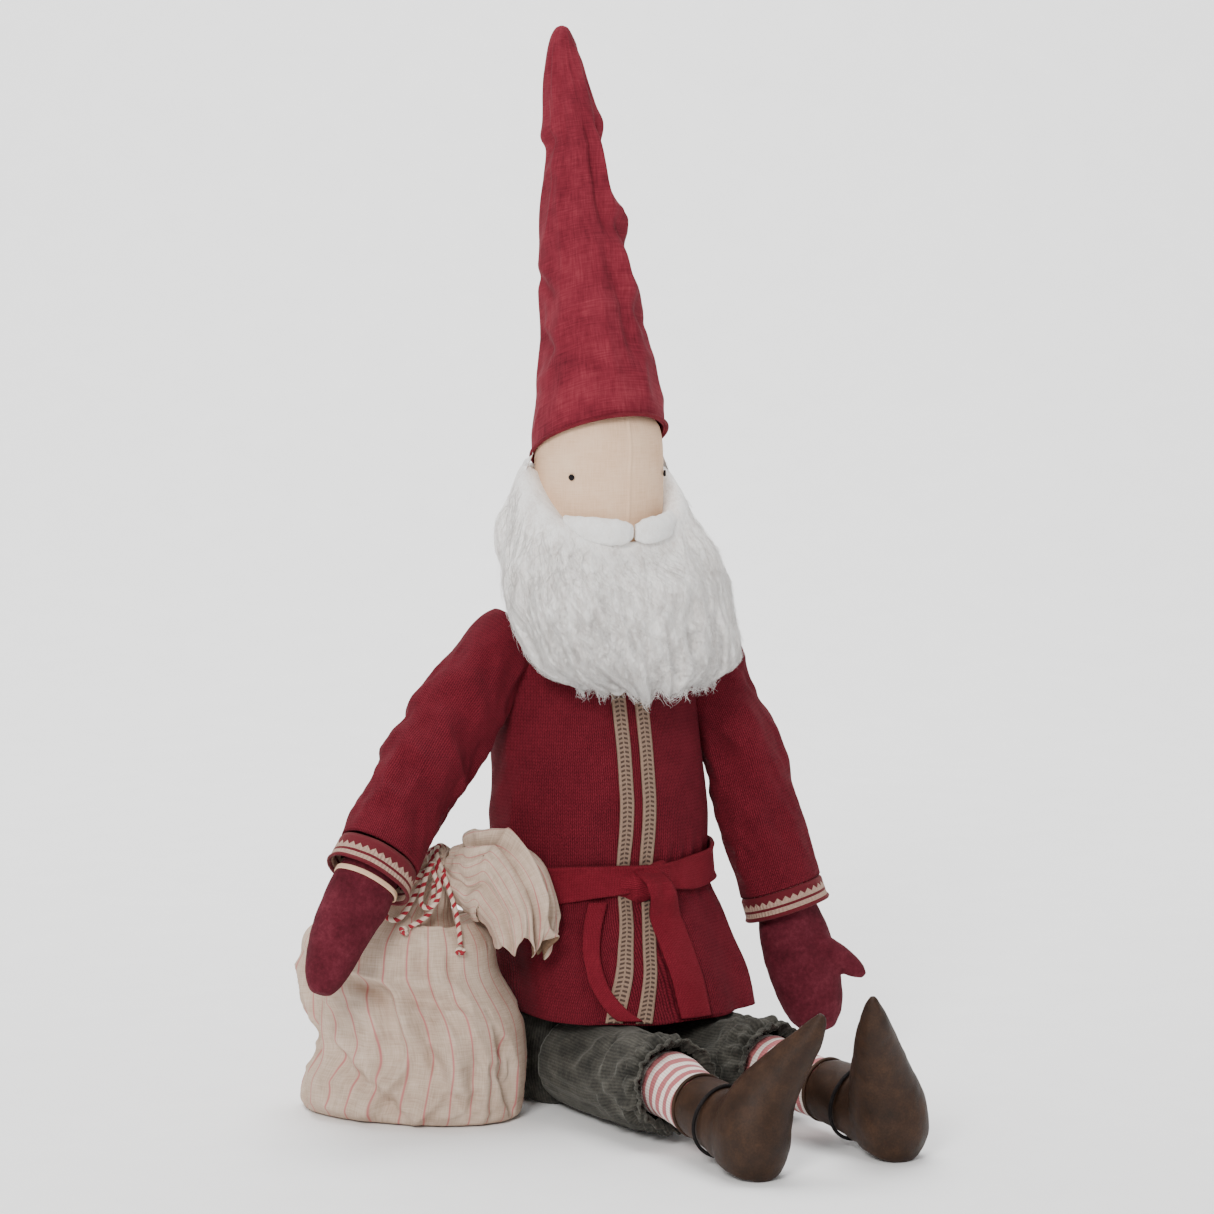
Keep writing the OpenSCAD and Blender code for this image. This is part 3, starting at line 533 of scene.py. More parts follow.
def corduroy(name, base, dark, light, rib=2.2):
    s = Shade(name, rough=0.9, sheen=0.12, sheen_tint=(0.8, 0.8, 0.7))
    u, _ = s.uv()
    ribs = s.add(0.5, s.mul(s.math("SINE", s.mul(u, 2 * math.pi / rib)), 0.5))
    pile = s.noise(s.place(), 0.5, 5.0, 0.7)
    worn = s.noise(s.place(), 0.07, 4.0)
    # The ribs darken the colour a little between them: painted shade in the grooves
    tone = s.add(s.mul(ribs, 0.08),
                  s.add(s.mul(pile, 0.37), s.mul(worn, 0.45)))
    return s.finish(s.ramp(tone, (0.34, dark), (0.5, base), (0.68, light)),
                    s.add(s.mul(ribs, 0.35), pile), 0.5, 0.5)


def suede(name, base, dark, light):
    s = Shade(name, rough=0.6, sheen=0.0, sheen_tint=light, specular=0.22)
    grain = s.noise(s.place(), 0.7, 6.0, 0.75)
    scuffs = s.noise(s.place(), 0.07, 5.0, 0.65)
    # Pointiness lightens sharp edges, as wear does, and darkens creases and hollows: painted shade there
    edge = s.tree.nodes.new("ShaderNodeNewGeometry").outputs["Pointiness"]
    tone = s.add(s.add(s.mul(grain, 0.35), s.mul(scuffs, 0.5)),
                  s.mul(s.sub(edge, 0.42), 0.9))
    s.put(s.bsdf.inputs["Roughness"], s.add(0.42, s.mul(scuffs, 0.3)))
    return s.finish(s.ramp(tone, (0.32, dark), (0.5, base), (0.75, light)), grain, 0.35, 0.5)


def wool(name, base, dark, stretch=2.6):
    """Loose fibres combed downwards."""
    s = Shade(name, rough=0.95, sheen=0.3)
    s.set("Subsurface Weight", 0.25)
    s.set("Subsurface Radius", (1.0, 0.95, 0.9))
    s.set("Subsurface Scale", 0.004)
    split = s.node("ShaderNodeSeparateXYZ", Vector=s.place())
    combed = s.vector(split.outputs[0], split.outputs[1], s.mul(split.outputs[2], 1 / stretch))
    fibre = s.noise(combed, 0.55, 6.0, 0.75)
    locks = s.noise(combed, 0.12, 3.0)
    tone = s.add(s.mul(fibre, 0.6), s.mul(locks, 0.4))
    return s.finish(s.ramp(tone, (0.36, dark), (0.56, base)), s.add(fibre, locks), 0.6, 1.6)


def yarn(name, pale):
    """A shade with its UV sockets, its fuzz and the colour of its pale yarn."""
    s = Shade(name, rough=0.95, sheen=0.15, sheen_tint=pale)
    u, v = s.uv()
    fuzz = s.noise(s.place(), 0.8, 4.0, 0.7)
    return s, u, v, fuzz, s.ramp(fuzz, (0.35, tuple(c * 0.72 for c in pale)), (0.62, pale))


def scalloped(name, pale, field, hem, line, top, peak, pitch):
    """Cuff border: a pale band from hem to scalloped top, with a line of the field's colour in it."""
    s, u, v, fuzz, tint = yarn(name, pale)
    edge = s.add(top, s.mul(s.from_middle(s.math("FRACT", s.mul(u, 1 / pitch))), 2 * peak))
    band = s.mul(s.math("GREATER_THAN", v, hem), s.math("LESS_THAN", v, edge))
    in_line = s.mul(s.math("GREATER_THAN", v, line[0]), s.math("LESS_THAN", v, line[1]))
    mask = s.sub(band, s.mul(in_line, band))
    stitch = 2.6
    ridge = s.mul(mask, s.add(0.6, s.mul(s.math("SINE", s.mul(u, 2 * math.pi / stitch)), 0.4)))
    return s.finish(s.mix(mask, field, tint), s.add(ridge, s.mul(fuzz, 0.5)), 0.8, 0.9)


def ladder(name, pale, gap, width, pitch=3.1):
    """Front band: pale yarn with two rows of slanted holes, painted near-black: the coat behind them,
    darkened as painted shade.
    """
    s, u, v, fuzz, tint = yarn(name, pale)
    across = s.math("DIVIDE", s.from_middle(u, width / 2), width / 2)
    hole_v = s.math("FRACT", s.mul(s.add(v, s.mul(across, 1.5)), 1 / pitch))
    in_row = s.mul(s.math("LESS_THAN", across, 0.66), s.math("GREATER_THAN", across, 0.10))
    # Holes take the gap colour: the coat seen through them, darkened with painted shade
    hole = s.mul(s.math("LESS_THAN", hole_v, 0.5), in_row)
    return s.finish(s.mix(s.mul(hole, 0.8), tint, gap), s.sub(s.mul(fuzz, 0.6), hole), 0.9, 0.8)


def ringed(name, tint, pale, period):
    """Stocking stitch in even rings of two colours, with painted shade in the grooves between the columns."""
    s = Shade(name, rough=0.92, sheen=0.15)
    u, v = s.uv()
    wave = s.noise(s.place(), 0.15, 2.0)
    at = s.math("FRACT", s.mul(s.add(v, s.mul(wave, 1.2)), 1 / period))
    mask = s.math("LESS_THAN", at, 0.52)
    wale = 1.9
    t = s.math("ABSOLUTE", s.math("SINE", s.mul(u, math.pi / wale)))
    fuzz = s.noise(s.place(), 0.9, 4.0, 0.7)
    # Darker where t is low, between the columns: painted shade in the grooves
    shade = s.add(0.72, s.mul(s.mul(t, fuzz), 0.55))
    colour = s.mix(mask, pale, tint)
    grey = s.node("ShaderNodeCombineColor", Red=shade, Green=shade, Blue=shade).outputs[0]
    return s.finish(s.mix(1.0, colour, grey, "MULTIPLY"), s.add(t, fuzz), 0.5, 0.4)


def two_colour(name, tint, pale, pitch):
    """Twine of a red and a pale strand: colours wind round it once in a pitch."""
    s = Shade(name, rough=0.85, sheen=0.1)
    u, v = s.uv()
    turn = s.math("FRACT", s.sub(u, s.mul(v, 1 / pitch)))
    mask = s.math("LESS_THAN", turn, 0.42)
    fuzz = s.noise(s.place(), 1.6, 3.0)
    strand = s.ramp(fuzz, (0.3, tuple(c * 0.75 for c in pale)), (0.6, pale))
    return s.finish(s.mix(mask, strand, tint), fuzz, 0.5, 0.3)


RED_LINEN = linen("red_linen", (0.165, 0.014, 0.026), (0.085, 0.006, 0.013), (0.235, 0.030, 0.044), 1.0)
# The hat linen darkened, for the seam ridge and the hem roll: painted shade
RED_LINEN_SHADED = linen("red_linen_shaded", (0.12, 0.009, 0.016), (0.07, 0.004, 0.008), (0.17, 0.018, 0.027), 1.0)
RED_KNIT = knit("red_knit", (0.082, 0.0040, 0.010), (0.014, 0.0006, 0.002), (0.19, 0.016, 0.028))
BELT_KNIT = knit("dark_red_knit", (0.125, 0.006, 0.014), (0.040, 0.0015, 0.004), (0.22, 0.018, 0.030),
                 wale=1.9, row=1.7, depth=0.5)
MITTEN_WOOL = felt("mitten_wool", (0.085, 0.010, 0.018), (0.045, 0.005, 0.009), (0.135, 0.022, 0.034))
FACE_LINEN = linen("face_linen", (0.78, 0.53, 0.355), (0.68, 0.44, 0.28), (0.84, 0.61, 0.43), 0.7)
WHITE_WOOL = wool("white_wool", (0.95, 0.93, 0.905), (0.70, 0.65, 0.62))
MOUSTACHE_WOOL = wool("moustache_wool", (0.97, 0.96, 0.94), (0.86, 0.83, 0.80), 1.2)
CORDUROY = corduroy("grey_corduroy", (0.044, 0.041, 0.034), (0.010, 0.0095, 0.008), (0.105, 0.099, 0.083))
BOOT_LEATHER = suede("boot_leather", (0.026, 0.0115, 0.0055), (0.008, 0.0036, 0.002), (0.065, 0.030, 0.015))
STRIPED_KNIT = ringed("striped_knit", (0.42, 0.125, 0.13), (0.78, 0.68, 0.62), 8.2)
SACK_LINEN = linen("striped_linen", (0.47, 0.355, 0.275), (0.33, 0.235, 0.175), (0.58, 0.465, 0.375), 0.8,
                   stripe=(STRIPE, 1.7, (0.44, 0.11, 0.12)))
# Dark brown, unstriped linen for the ruffle's inner side: painted shade inside the sack's mouth
SACK_INSIDE_SHADE = linen("sack_inside_shade", (0.16, 0.095, 0.058), (0.08, 0.045, 0.028), (0.24, 0.15, 0.095), 0.8)
TWINE_COTTON = two_colour("twine", (0.26, 0.012, 0.022), (0.62, 0.50, 0.40), TWINE_PITCH)
BLACK_CORD = felt("black_cord", (0.012, 0.010, 0.010), (0.004, 0.004, 0.004), (0.035, 0.03, 0.03), 1.2)
BLACK_THREAD = felt("black_thread", (0.010, 0.008, 0.010), (0.003, 0.003, 0.003), (0.03, 0.03, 0.03), 1.5)
# The near-black hole colour is the dark red coat behind the band, darkened with painted shade
FRONT_BAND = ladder("band_crochet", (0.27, 0.18, 0.13), (0.022, 0.010, 0.010), 10.0)
CUFF_BAND = scalloped("cuff_border", (0.42, 0.28, 0.215), (0.095, 0.005, 0.011),
                      hem=3.2, line=(6.4, 8.2), top=10.4, peak=2.8, pitch=5.5)


# ---- stage
def look_at(obj, place, target):
    obj.location = place
    obj.rotation_euler = (Vector(target) - Vector(place)).to_track_quat("-Z", "Y").to_euler()


def area_light(name, place, target, size, power, colour=(1, 1, 1)):
    data = bpy.data.lights.new(name, "AREA")
    data.size = size
    data.energy = power
    data.color = colour
    obj = bpy.data.objects.new(name, data)
    bpy.context.scene.collection.objects.link(obj)
    look_at(obj, place, target)


def build_stage():
    camera_data = bpy.data.cameras.new("camera")
    camera_data.sensor_width = 36
    camera_data.lens = 132.2
    camera = bpy.data.objects.new("camera", camera_data)
    bpy.context.scene.collection.objects.link(camera)
    look_at(camera, (-1.356, -2.676, 0.696), (0.0061, -0.0031, 0.3342))
    bpy.context.scene.camera = camera

    sweep = Shade("stage_paper", rough=0.95, specular=0.1)
    grain = sweep.noise(sweep.place(), 0.02, 2.0)
    paper = sweep.ramp(grain, (0.3, (0.93, 0.93, 0.93)), (0.7, (0.95, 0.95, 0.95)))
    material = sweep.finish(paper, grain, 0.02, 0.1)
    # A sheet of paper square to the view: flat, then a quarter bend, then up
    bend, steps, reach, top = 1500, 12, 6000, 7000
    turn = [k / steps * math.pi / 2 for k in range(steps + 1)]
    profile = ([(-reach, 0)] + [(bend + bend * math.sin(k), bend - bend * math.cos(k)) for k in turn]
               + [(2 * bend, top)])
    back = Vector((0.454, 0.891))
    across = Vector((0.891, -0.454))
    points = [(*(back * d + across * w), z) for d, z in profile for w in (-reach, reach)]
    faces = [(2 * k, 2 * k + 1, 2 * k + 3, 2 * k + 2) for k in range(len(profile) - 1)]
    floor = mesh_object("stage_floor", points, faces, material)

    world = bpy.data.worlds.new("studio")
    world.use_nodes = True
    world.node_tree.nodes["Background"].inputs[0].default_value = (1, 1, 1, 1)
    world.node_tree.nodes["Background"].inputs[1].default_value = 0.62
    bpy.context.scene.world = world
    area_light("key", (-2.0, -2.2, 1.8), (0, 0, 0.3), 0.9, 84, (1, 0.985, 0.96))
    area_light("backdrop", (0.3, 0.9, 3.4), (0.9, 2.2, 0.4), 2.4, 170)


# ---- sack and twine
def from_sack(P):
    """Points of the sack's frame in the row frame."""
    c, s = math.cos(SACK_TURN), math.sin(SACK_TURN)
    P = np.asarray(P, float)
    x, y, z = P[..., 0], P[..., 1], P[..., 2]
    return np.stack([x * c - y * s, x * s + y * c, z], -1) + SACK_PLACE


def build_sack():
    around, low, high = 240, 110, 46
    a = turns(around)
    z = np.concatenate([np.linspace(0, 4, 6), np.linspace(5, 134, low)])
    body = oval(SACK, np.repeat(z[:, None], around, 1), a[None, :], 2.15)
    top = path_ovals(SACK_TOP, high, around, (1, 0, 0))
    P = np.vstack([body, top])
    angle, height = np.broadcast_to(a, P.shape[:2]), P[..., 2]
    ring = round_at(angle, height / 60, 2)
    neck = step(70, 150, height)
    close = 1 - step(146, 166, height)
    pleats = (np.sin(angle * 13 + 3 * noise(ring * 0.8, 5))
              + 0.6 * np.sin(angle * 21 + 4 * noise(ring * 1.3, 6)))
    slant = ring * np.array([1.5, 1.5, 1.1])
    slant[..., 2] += 1.2 * np.sin(angle * 2)
    lift = (4.4 * noise(ring * np.array([1.1, 1.1, 1.5]), 1) * close
            + 7.0 * crease(slant, 2) * close
            + 2.2 * crease(ring * np.array([3.0, 3.0, 3.4]), 3) * close
            + pleats * (0.35 + 2.3 * neck * close + 1.0 * (1 - close)))
    lift = lift * (1 - step(96, 132, height)) + 1.3 * pleats * step(120, 140, height)
    lift = lift + furrows(angle, height, SACK_FOLDS, 60)
    # Next to the doll, and near the top, the cloth may not swell
    beside = step(-0.3, 0.4, np.cos(angle - math.radians(40)))
    room = (1 - beside) * (1 - step(90, 108, height)) * 9 - 0.7 + 2.0 * step(132, 146, height)
    P = on_floor(pushed(P, np.minimum(lift, room) * step(0, 10, height)))
    body = loft("sack_body_linen", from_sack(P), SACK_LINEN, caps=(True, True), girth=SACK_GIRTH)
    dress(body, "sack", "striped_linen", "sack_body", "sack_filling", fill=0.5)

    P = path_ovals(RUFFLE, 70, 200, (1, 0, 0))
    a, t = grid_of(P)
    ring = round_at(a, t * 3, 2)
    flare = step(0.02, 0.55, t)
    pleat = np.arcsin(np.sin(a * 7 + 2.2 * noise(ring * 0.9, 21))) * 2 / math.pi
    lift = (pleat * (0.8 + 5.6 * flare) + 1.3 * np.sin(a * 17 + 3 * noise(ring * 1.5, 22)) * flare
            + 3.0 * noise(ring * np.array([1.2, 1.2, 1.6]), 23) * flare
            + 1.5 * crease(ring * 2.2, 25) * flare)
    # The rings are wider than the bend on its inner side, so the folds fade out there
    loose = 1 - 0.9 * step(-0.1, 0.6, -np.cos(a))
    P = pushed(P, lift * loose)
    rim = step(0.72, 1.0, t)
    P[..., 2] += (rim * loose * (9 * pleat + 5 * noise(ring * 1.3, 24))
                  + 12 * rim * step(0.2, 1.0, np.cos(a + 2.2)))
    ruffle = loft("sack_ruffle_linen", from_sack(P), SACK_LINEN, girth=SACK_GIRTH, thick=0.9)
    # The wall's inner shell takes the second material: painted shade on the ruffle's inside
    ruffle.data.materials.append(SACK_INSIDE_SHADE)
    ruffle.modifiers["wall"].material_offset = 1
    dress(ruffle, "sack", "striped_linen", "sack_ruffle")


def build_twine():
    for name, route in TWINE.items():
        world = from_sack(route)
        cord, fine = tube(name + "_cord", world, TWINE_D, TWINE_COTTON, twist=TWINE_PITCH)
        dress(cord, "sack", "twine", name)
        loop = "loop" in name
        pieces = []
        if not loop:
            way = world[-1] - world[-2]
            pieces = [build_knot(name.replace("end", "knot"), world[-1] + way / np.linalg.norm(way) * 4, way)]
    # Three turns round the neck, tilted with it
    wraps, radius, rise, tie_x, tie_z, tilt = 3, 14.6, 9, 25, 168.2, math.radians(60)
    t = np.linspace(0, wraps * 2 * math.pi, 120)
    across, lift = radius * np.cos(t), (t / t[-1] - 0.5) * rise
    local = np.stack([tie_x + across * math.cos(tilt) + lift * math.sin(tilt), radius * np.sin(t),
                      tie_z - across * math.sin(tilt) + lift * math.cos(tilt)], -1)
    tie, _ = tube("twine_wraps_cord", from_sack(local), TWINE_D, TWINE_COTTON, side=(0.5, 0.5, 0.7),
                  twist=TWINE_PITCH)
    dress(tie, "sack", "twine", "twine_wraps")


def build_knot(node, centre, direction):
    """An overhand knot: a trefoil of the same twine drawn tight."""
    direction = direction / np.linalg.norm(direction)
    side = np.cross(direction, (0.3, 0.9, 0.1))
    side /= np.linalg.norm(side)
    third = np.cross(direction, side)
    t = np.linspace(0, 2 * math.pi, 40)
    x, y, z = np.sin(t) + 2 * np.sin(2 * t), np.cos(t) - 2 * np.cos(2 * t), -np.sin(3 * t)
    route = centre + 0.95 * (x[:, None] * side + y[:, None] * third) * 0.9 + 1.3 * z[:, None] * direction
    knot, _ = tube(node + "_knot", route, 3.0, TWINE_COTTON, twist=TWINE_PITCH, per_mm=1.2)
    dress(knot, "sack", "twine", node)
    return knot


# ---- head
def build_head():
    around, along = 320, 70
    a = turns(around)
    z = np.linspace(HEAD_LOW, HEAD_TOP, along)
    P = oval(HEAD, np.repeat(z[:, None], around, 1), a[None, :])
    front = np.cos(a + math.pi / 2)[None, :]
    seam = np.exp(-((P[..., 0] - NECK_X - 0.03 * (P[..., 2] - 390)) / 0.9) ** 2) * (front > 0.5)
    under_hat = step(0, 12, P[..., 2] - brim_height(P[..., 1]))
    P = pushed(P, 0.8 * seam + 0.6 * noise(P / 26, 31) - 2.5 * under_hat)
    head = loft("head_linen", P, FACE_LINEN, caps=(True, True))
    dress(head, "head", "face_linen", "head_stuffing", fill=0.95)

    for name in ("eye_right", "eye_left"):
        low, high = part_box(name)
        middle = np.array((low + high) / 2) / MM
        out = np.array([middle[0] - NECK_X, middle[1], 0])
        out /= np.linalg.norm(out)
        level = np.cross(out, (0, 0, 1))
        parts = []
        thread_r = 0.55
        for k in range(-2, 3):
            half = math.sqrt(max(0.3, 4.4 - (k * 0.9) ** 2))
            up = np.array([0, 0, k * 0.8])
            route = [middle + out * 0.1 - level * half + up, middle + out * 1.0 + up,
                     middle + out * 0.1 + level * half + up]
            thread = curve([list(p) + [thread_r, thread_r] for p in route], 9)
            parts.append(path_ovals(thread, 9, 8, (0, 0, 1)))
        eye = fused(name + "_stitches", parts, BLACK_THREAD, 0.3, 2)
        dress(eye, "head", "black_thread", name)


def brim_height(y):
    return 446 - 0.467 * y


def hat_points(s, angle):
    """A point of the hat: s runs from the slanted brim to the tip."""
    brim = brim_height(BRIM_R * np.sin(angle))
    z = brim + (HAT_TIP - brim) * s
    return oval(HAT, z, angle)


def build_hat():
    around, along = 168, 240
    a = turns(around)
    # Rows crowd together in the last 3 hundredths, where the tip rounds over
    s = np.concatenate([np.linspace(0, 0.97, along - 14), 1 - 0.03 * (1 - np.linspace(0, 1, 15)[1:]) ** 1.6])
    S, A = np.broadcast_arrays(s[:, None], a[None, :])
    P = hat_points(S, A)
    fade = step(0, 0.08, S) * (1 - step(0.955, 1.0, S))
    z = P[..., 2]
    waves = (2.9 * noise(round_at(A, z / 60) * np.array([0.8, 0.8, 1.6]), 41)
             + 2.3 * crease(round_at(A, z / 34 + 0.5 * np.sin(A), 1.1), 42))
    fine = crease(round_at(A, z / 30 + np.sin(A), 3.0), 43)
    lift = (waves + fine + furrows(A, z, HAT_FOLDS, 24)) * fade * (0.45 + 0.55 * (1 - step(640, HAT_TIP, z)))
    # Over the head the cloth may hardly sink
    P = pushed(P, np.maximum(lift, -0.8 - 6 * step(474, 496, z)))
    hat = loft("hat_linen", P, RED_LINEN, caps=(False, True), thick=1.2)
    dress(hat, "head", "red_linen", "hat", "hat_stiffener", fill=0.8)

    seam = P[4:226:4, 34]
    # The seam ridge is in the darker copy of the hat linen: painted shade
    ridge, _ = tube("hat_seam", seam, 1.5, RED_LINEN_SHADED, side=(1, 0, 0), per_mm=0.4, around=8)
    dress(ridge, "head", "red_linen")
    hem_r = BRIM_R + 0.3
    brim = np.stack([hem_r * np.cos(a) + NECK_X, hem_r * np.sin(a), brim_height(hem_r * np.sin(a)) + 0.6], -1)
    brim = np.vstack([brim, brim[:1]])
    # The hem roll is in the darker copy of the hat linen: painted shade
    hem, _ = tube("hat_hem_roll", brim, 2.6, RED_LINEN_SHADED, side=(0, 0, 1), per_mm=0.6, around=12)
    dress(hem, "head", "red_linen", "hat_hem")


def turned(P, degrees):
    """Points turned about the neck."""
    c, s = math.cos(math.radians(degrees)), math.sin(math.radians(degrees))
    x, y = P[..., 0] - NECK_X, P[..., 1]
    return np.stack([x * c - y * s + NECK_X, x * s + y * c, P[..., 2]], -1)


def clear_of_coat(P):
    """Moves wool out of the room that the shoulders and the chest take while the head turns."""
    for degrees in (-HEAD_TURN, -6, 0, 6, HEAD_TURN):
        Q = turned(P, degrees)
        x, y, half_w, half_d = rows_at(BODY, Q[..., 2])
        dx, dy = Q[..., 0] - x, Q[..., 1] - y
        inside = np.sqrt((dx / (half_w + 6)) ** 2 + (dy / (half_d + 6)) ** 2)
        out = np.where((Q[..., 2] < 345) & (inside < 1) & (inside > 0.55), 1 / np.maximum(inside, 0.1), 1)
        Q = np.stack([x + dx * out, y + dy * out, Q[..., 2]], -1)
        for side in (-1, 1):
            centre = np.array([side * 72, 3, 311])
            apart = Q - centre
            gap = np.linalg.norm(apart, axis=-1)[..., None]
            Q = np.where(gap < SHOULDER_ROOM, centre + apart / np.maximum(gap, 1) * SHOULDER_ROOM, Q)
        P = turned(Q, -degrees)
    return P


def beard_surface(s, angle):
    """The beard's outside: s 0 is its lower edge and 1 its edge on the face, which climbs to the sides."""
    z = BEARD_LOW + 120 * s
    for _ in range(6):
        y = oval(BEARD, z, angle)[..., 1]
        z = BEARD_LOW + (BEARD_SIDE + 0.72 * np.minimum(y, 6) - BEARD_LOW) * s
    P = oval(BEARD, z, angle)
    front = np.clip(-np.sin(angle), 0, 1)
    puffs = round_at(angle, z / 34 + 0.8 * np.sin(angle * 3), 3.2)
    streaks = round_at(angle, z / 48 + 0.5 * np.sin(angle * 7), 11)
    low = 1 - step(0.35, 0.9, s)
    lift = (4.4 * noise(puffs, 51) + 2.4 * noise(puffs * 2.3, 52) + 2.0 * crease(streaks, 53) * (0.25 + low)
            + 0.7 * noise(streaks * 1.8, 54))
    lift = lift * (1 - 0.75 * step(0.8, 1, s)) - 12 * front * step(0.74, 1, s)
    ragged = 5 * noise(round_at(angle, 0.0, 6), 55)
    P[..., 2] += (1 - step(0, 0.3, s)) * (ragged + 9 * np.cos(angle) ** 2 + 2)
    return clear_of_coat(swelled(P, angle, lift))


def build_beard():
    around, along = 300, 130
    a = turns(around)
    s = np.linspace(0, 1, along)
    S, A = np.broadcast_arrays(s[:, None], a[None, :])
    P = beard_surface(S, A)
    edge = P[-1]
    inner = np.stack([NECK_X + 41 * np.cos(a), 41 * np.sin(a), edge[:, 2] + 1.5], -1)
    rounded = [edge + (inner - edge) * k + np.array([0, 0, 1]) * (4.5 * math.sin(k ** 0.7 * math.pi) - 3 * k)
               for k in (0.12, 0.28, 0.46, 0.64, 0.82, 1)]
    bottom = P[0].mean(0) + (P[0] - P[0].mean(0)) * 0.4 + np.array([0, 0, 5])
    P = np.concatenate([bottom[None], P, np.array(rounded)])
    beard = loft("beard_wool", P, WHITE_WOOL, caps=(True, True))
    dress(beard, "head", "white_wool", "beard")

    count = 5200
    angle = np.radians(rng.uniform(165, 375, count))
    s0 = rng.beta(0.85, 1.2, count)
    length = rng.uniform(9, 30, count)
    fibre_mesh("beard_fibres", beard_surface, angle, s0, length, 140, lift=(0.1, 3.2))


def fibre_mesh(name, surface, angle, s0, length, span, lift):
    """Thin tapered fibres that run down a surface and leave it at their tips."""
    count, points = len(angle), 7
    t = np.linspace(0, 1, points)[None, :]
    s = s0[:, None] - length[:, None] / span * t
    curl = t * rng.uniform(3, 11, count)[:, None] + rng.uniform(0, 6, count)[:, None]
    drift = rng.normal(0, 0.12, count)[:, None] * t + 0.030 * np.sin(curl)
    at = angle[:, None] + drift
    P = surface(np.clip(s, 0.0, 1), at)
    below = np.minimum(s, 0)
    P[..., 2] += below * span * rng.uniform(0.05, 0.4, count)[:, None]
    radial = round_at(at)
    rise = lift[0] + rng.uniform(0, lift[1], count)[:, None] * t ** 1.3 + 0.8 * np.cos(curl) * t
    P = P + radial * rise[..., None] + rng.normal(0, 0.25, P.shape)
    along = np.gradient(P, axis=1)
    along /= np.linalg.norm(along, axis=-1)[..., None]
    u = np.cross(along, radial)
    u /= np.maximum(np.linalg.norm(u, axis=-1), 1e-6)[..., None]
    v = np.cross(along, u)
    radius = (rng.uniform(0.10, 0.21, count)[:, None] * (1 - 0.75 * t ** 2))[..., None]
    third = 2 * math.pi / 3
    Q = np.stack([P + radius * (math.cos(k * third) * u + math.sin(k * third) * v) for k in range(3)], 2)
    faces = []
    for c in range(count):
        base = c * points * 3
        for i in range(points - 1):
            for k in range(3):
                n = (k + 1) % 3
                faces.append((base + i * 3 + k, base + i * 3 + n, base + i * 3 + 3 + n, base + i * 3 + 3 + k))
    obj = mesh_object(name, Q.reshape(-1, 3), faces, WHITE_WOOL)
    dress(obj, "head", "white_wool")


def hair_surface(s, angle):
    z = HAIR_LOW + (brim_height(48 * np.sin(angle)) - 3 - HAIR_LOW) * s
    locks = round_at(angle, z / 50, 5)
    return swelled(oval(HAIR, z, angle), angle, 1.8 * noise(locks, 61) + 1.1 * noise(locks * 2.2, 62))


def build_hair():
    around, along = 160, 60
    a = np.radians(np.linspace(4, 176, around))
    S, A = np.broadcast_arrays(np.linspace(0, 1, along)[:, None], a[None, :])
    P = hair_surface(S, A)
    inner = np.stack([NECK_X + 40 * np.cos(a), 40 * np.sin(a), P[0, :, 2] + 2], -1)
    P = np.concatenate([inner[None], P])
    hair = loft("back_hair_wool", P, WHITE_WOOL, wrap=False)
    dress(hair, "head", "white_wool", "back_hair")
    count = 1500
    fibre_mesh("back_hair_fibres", hair_surface, np.radians(rng.uniform(6, 174, count)),
               rng.uniform(0.05, 1, count), rng.uniform(15, 30, count), 75, lift=(0.1, 1.6))


def build_moustache():
    angles = np.radians([2, 8, 17, 28, 40, 50, 57])
    half_t = [3.5, 5, 6, 5.6, 4.6, 3.2, 1.2]
    half_h = [5.5, 8, 9, 8.5, 7, 4.5, 1.6]
    height = [390, 390, 390.5, 391.5, 394, 397, 400]
    for side, name in ((-1, "moustache_right"), (1, "moustache_left")):
        reach = 45.6 + np.array(half_t)
        path = np.column_stack([NECK_X + side * reach * np.sin(angles), -1 - reach * np.cos(angles), height,
                                half_t, half_h])
        P = path_ovals(path, 60, 40, (0, -1, 0))
        P = pushed(P, 0.7 * noise(P / 5.5, 71) + 0.35 * noise(P / 2.2, 72))
        lobe = loft(name + "_wool", P, MOUSTACHE_WOOL, caps=(True, True))
        dress(lobe, "head", "white_wool", name)


# ---- coat
def pucker(angle):
    """Small gathers where the belt draws the coat in."""
    return 0.9 * np.sin(angle * 34 + 2 * np.sin(angle * 5))


def skirt_power(z):
    return 2.6 - 0.6 * step(118, 155, z)


def hem_height(y):
    return HEM_Z - 24 / 70 * np.maximum(y, 0)


def skirt_points(s, angle, out=0.0):
    """s 0 is the hem and 1 the belt."""
    z = HEM_Z + (SKIRT_TOP - HEM_Z) * s
    for _ in range(5):
        y = oval(SKIRT, z, angle)[..., 1]
        hem = hem_height(y)
        z = hem + (SKIRT_TOP - hem) * s
    P = oval(SKIRT, z, angle, skirt_power(z))
    free = step(SKIRT_TOP, 80, z)
    folds = 2.6 * np.sin(angle * 7 + 1.2 * np.sin(angle * 2)) + 1.6 * np.sin(angle * 11 + 2)
    lift = (folds * free + pucker(angle) * step(125, 150, z) + 1.8 * noise(P / 36, 81) * free
            + 0.8 * noise(P / 16, 82) + out)
    return swelled(P, angle, lift)


def body_points(s, angle, out=0.0):
    z = BODY_LOW + (BODY_TOP - BODY_LOW) * s
    P = oval(BODY, z, angle)
    sag = 1.6 * crease(round_at(angle, z / 46 + np.sin(angle), 1.6), 84)
    lift = pucker(angle) * (1 - step(165, 190, z)) + 1.7 * noise(P / 40, 83) + sag * step(165, 200, z) + out
    return swelled(P, angle, lift)


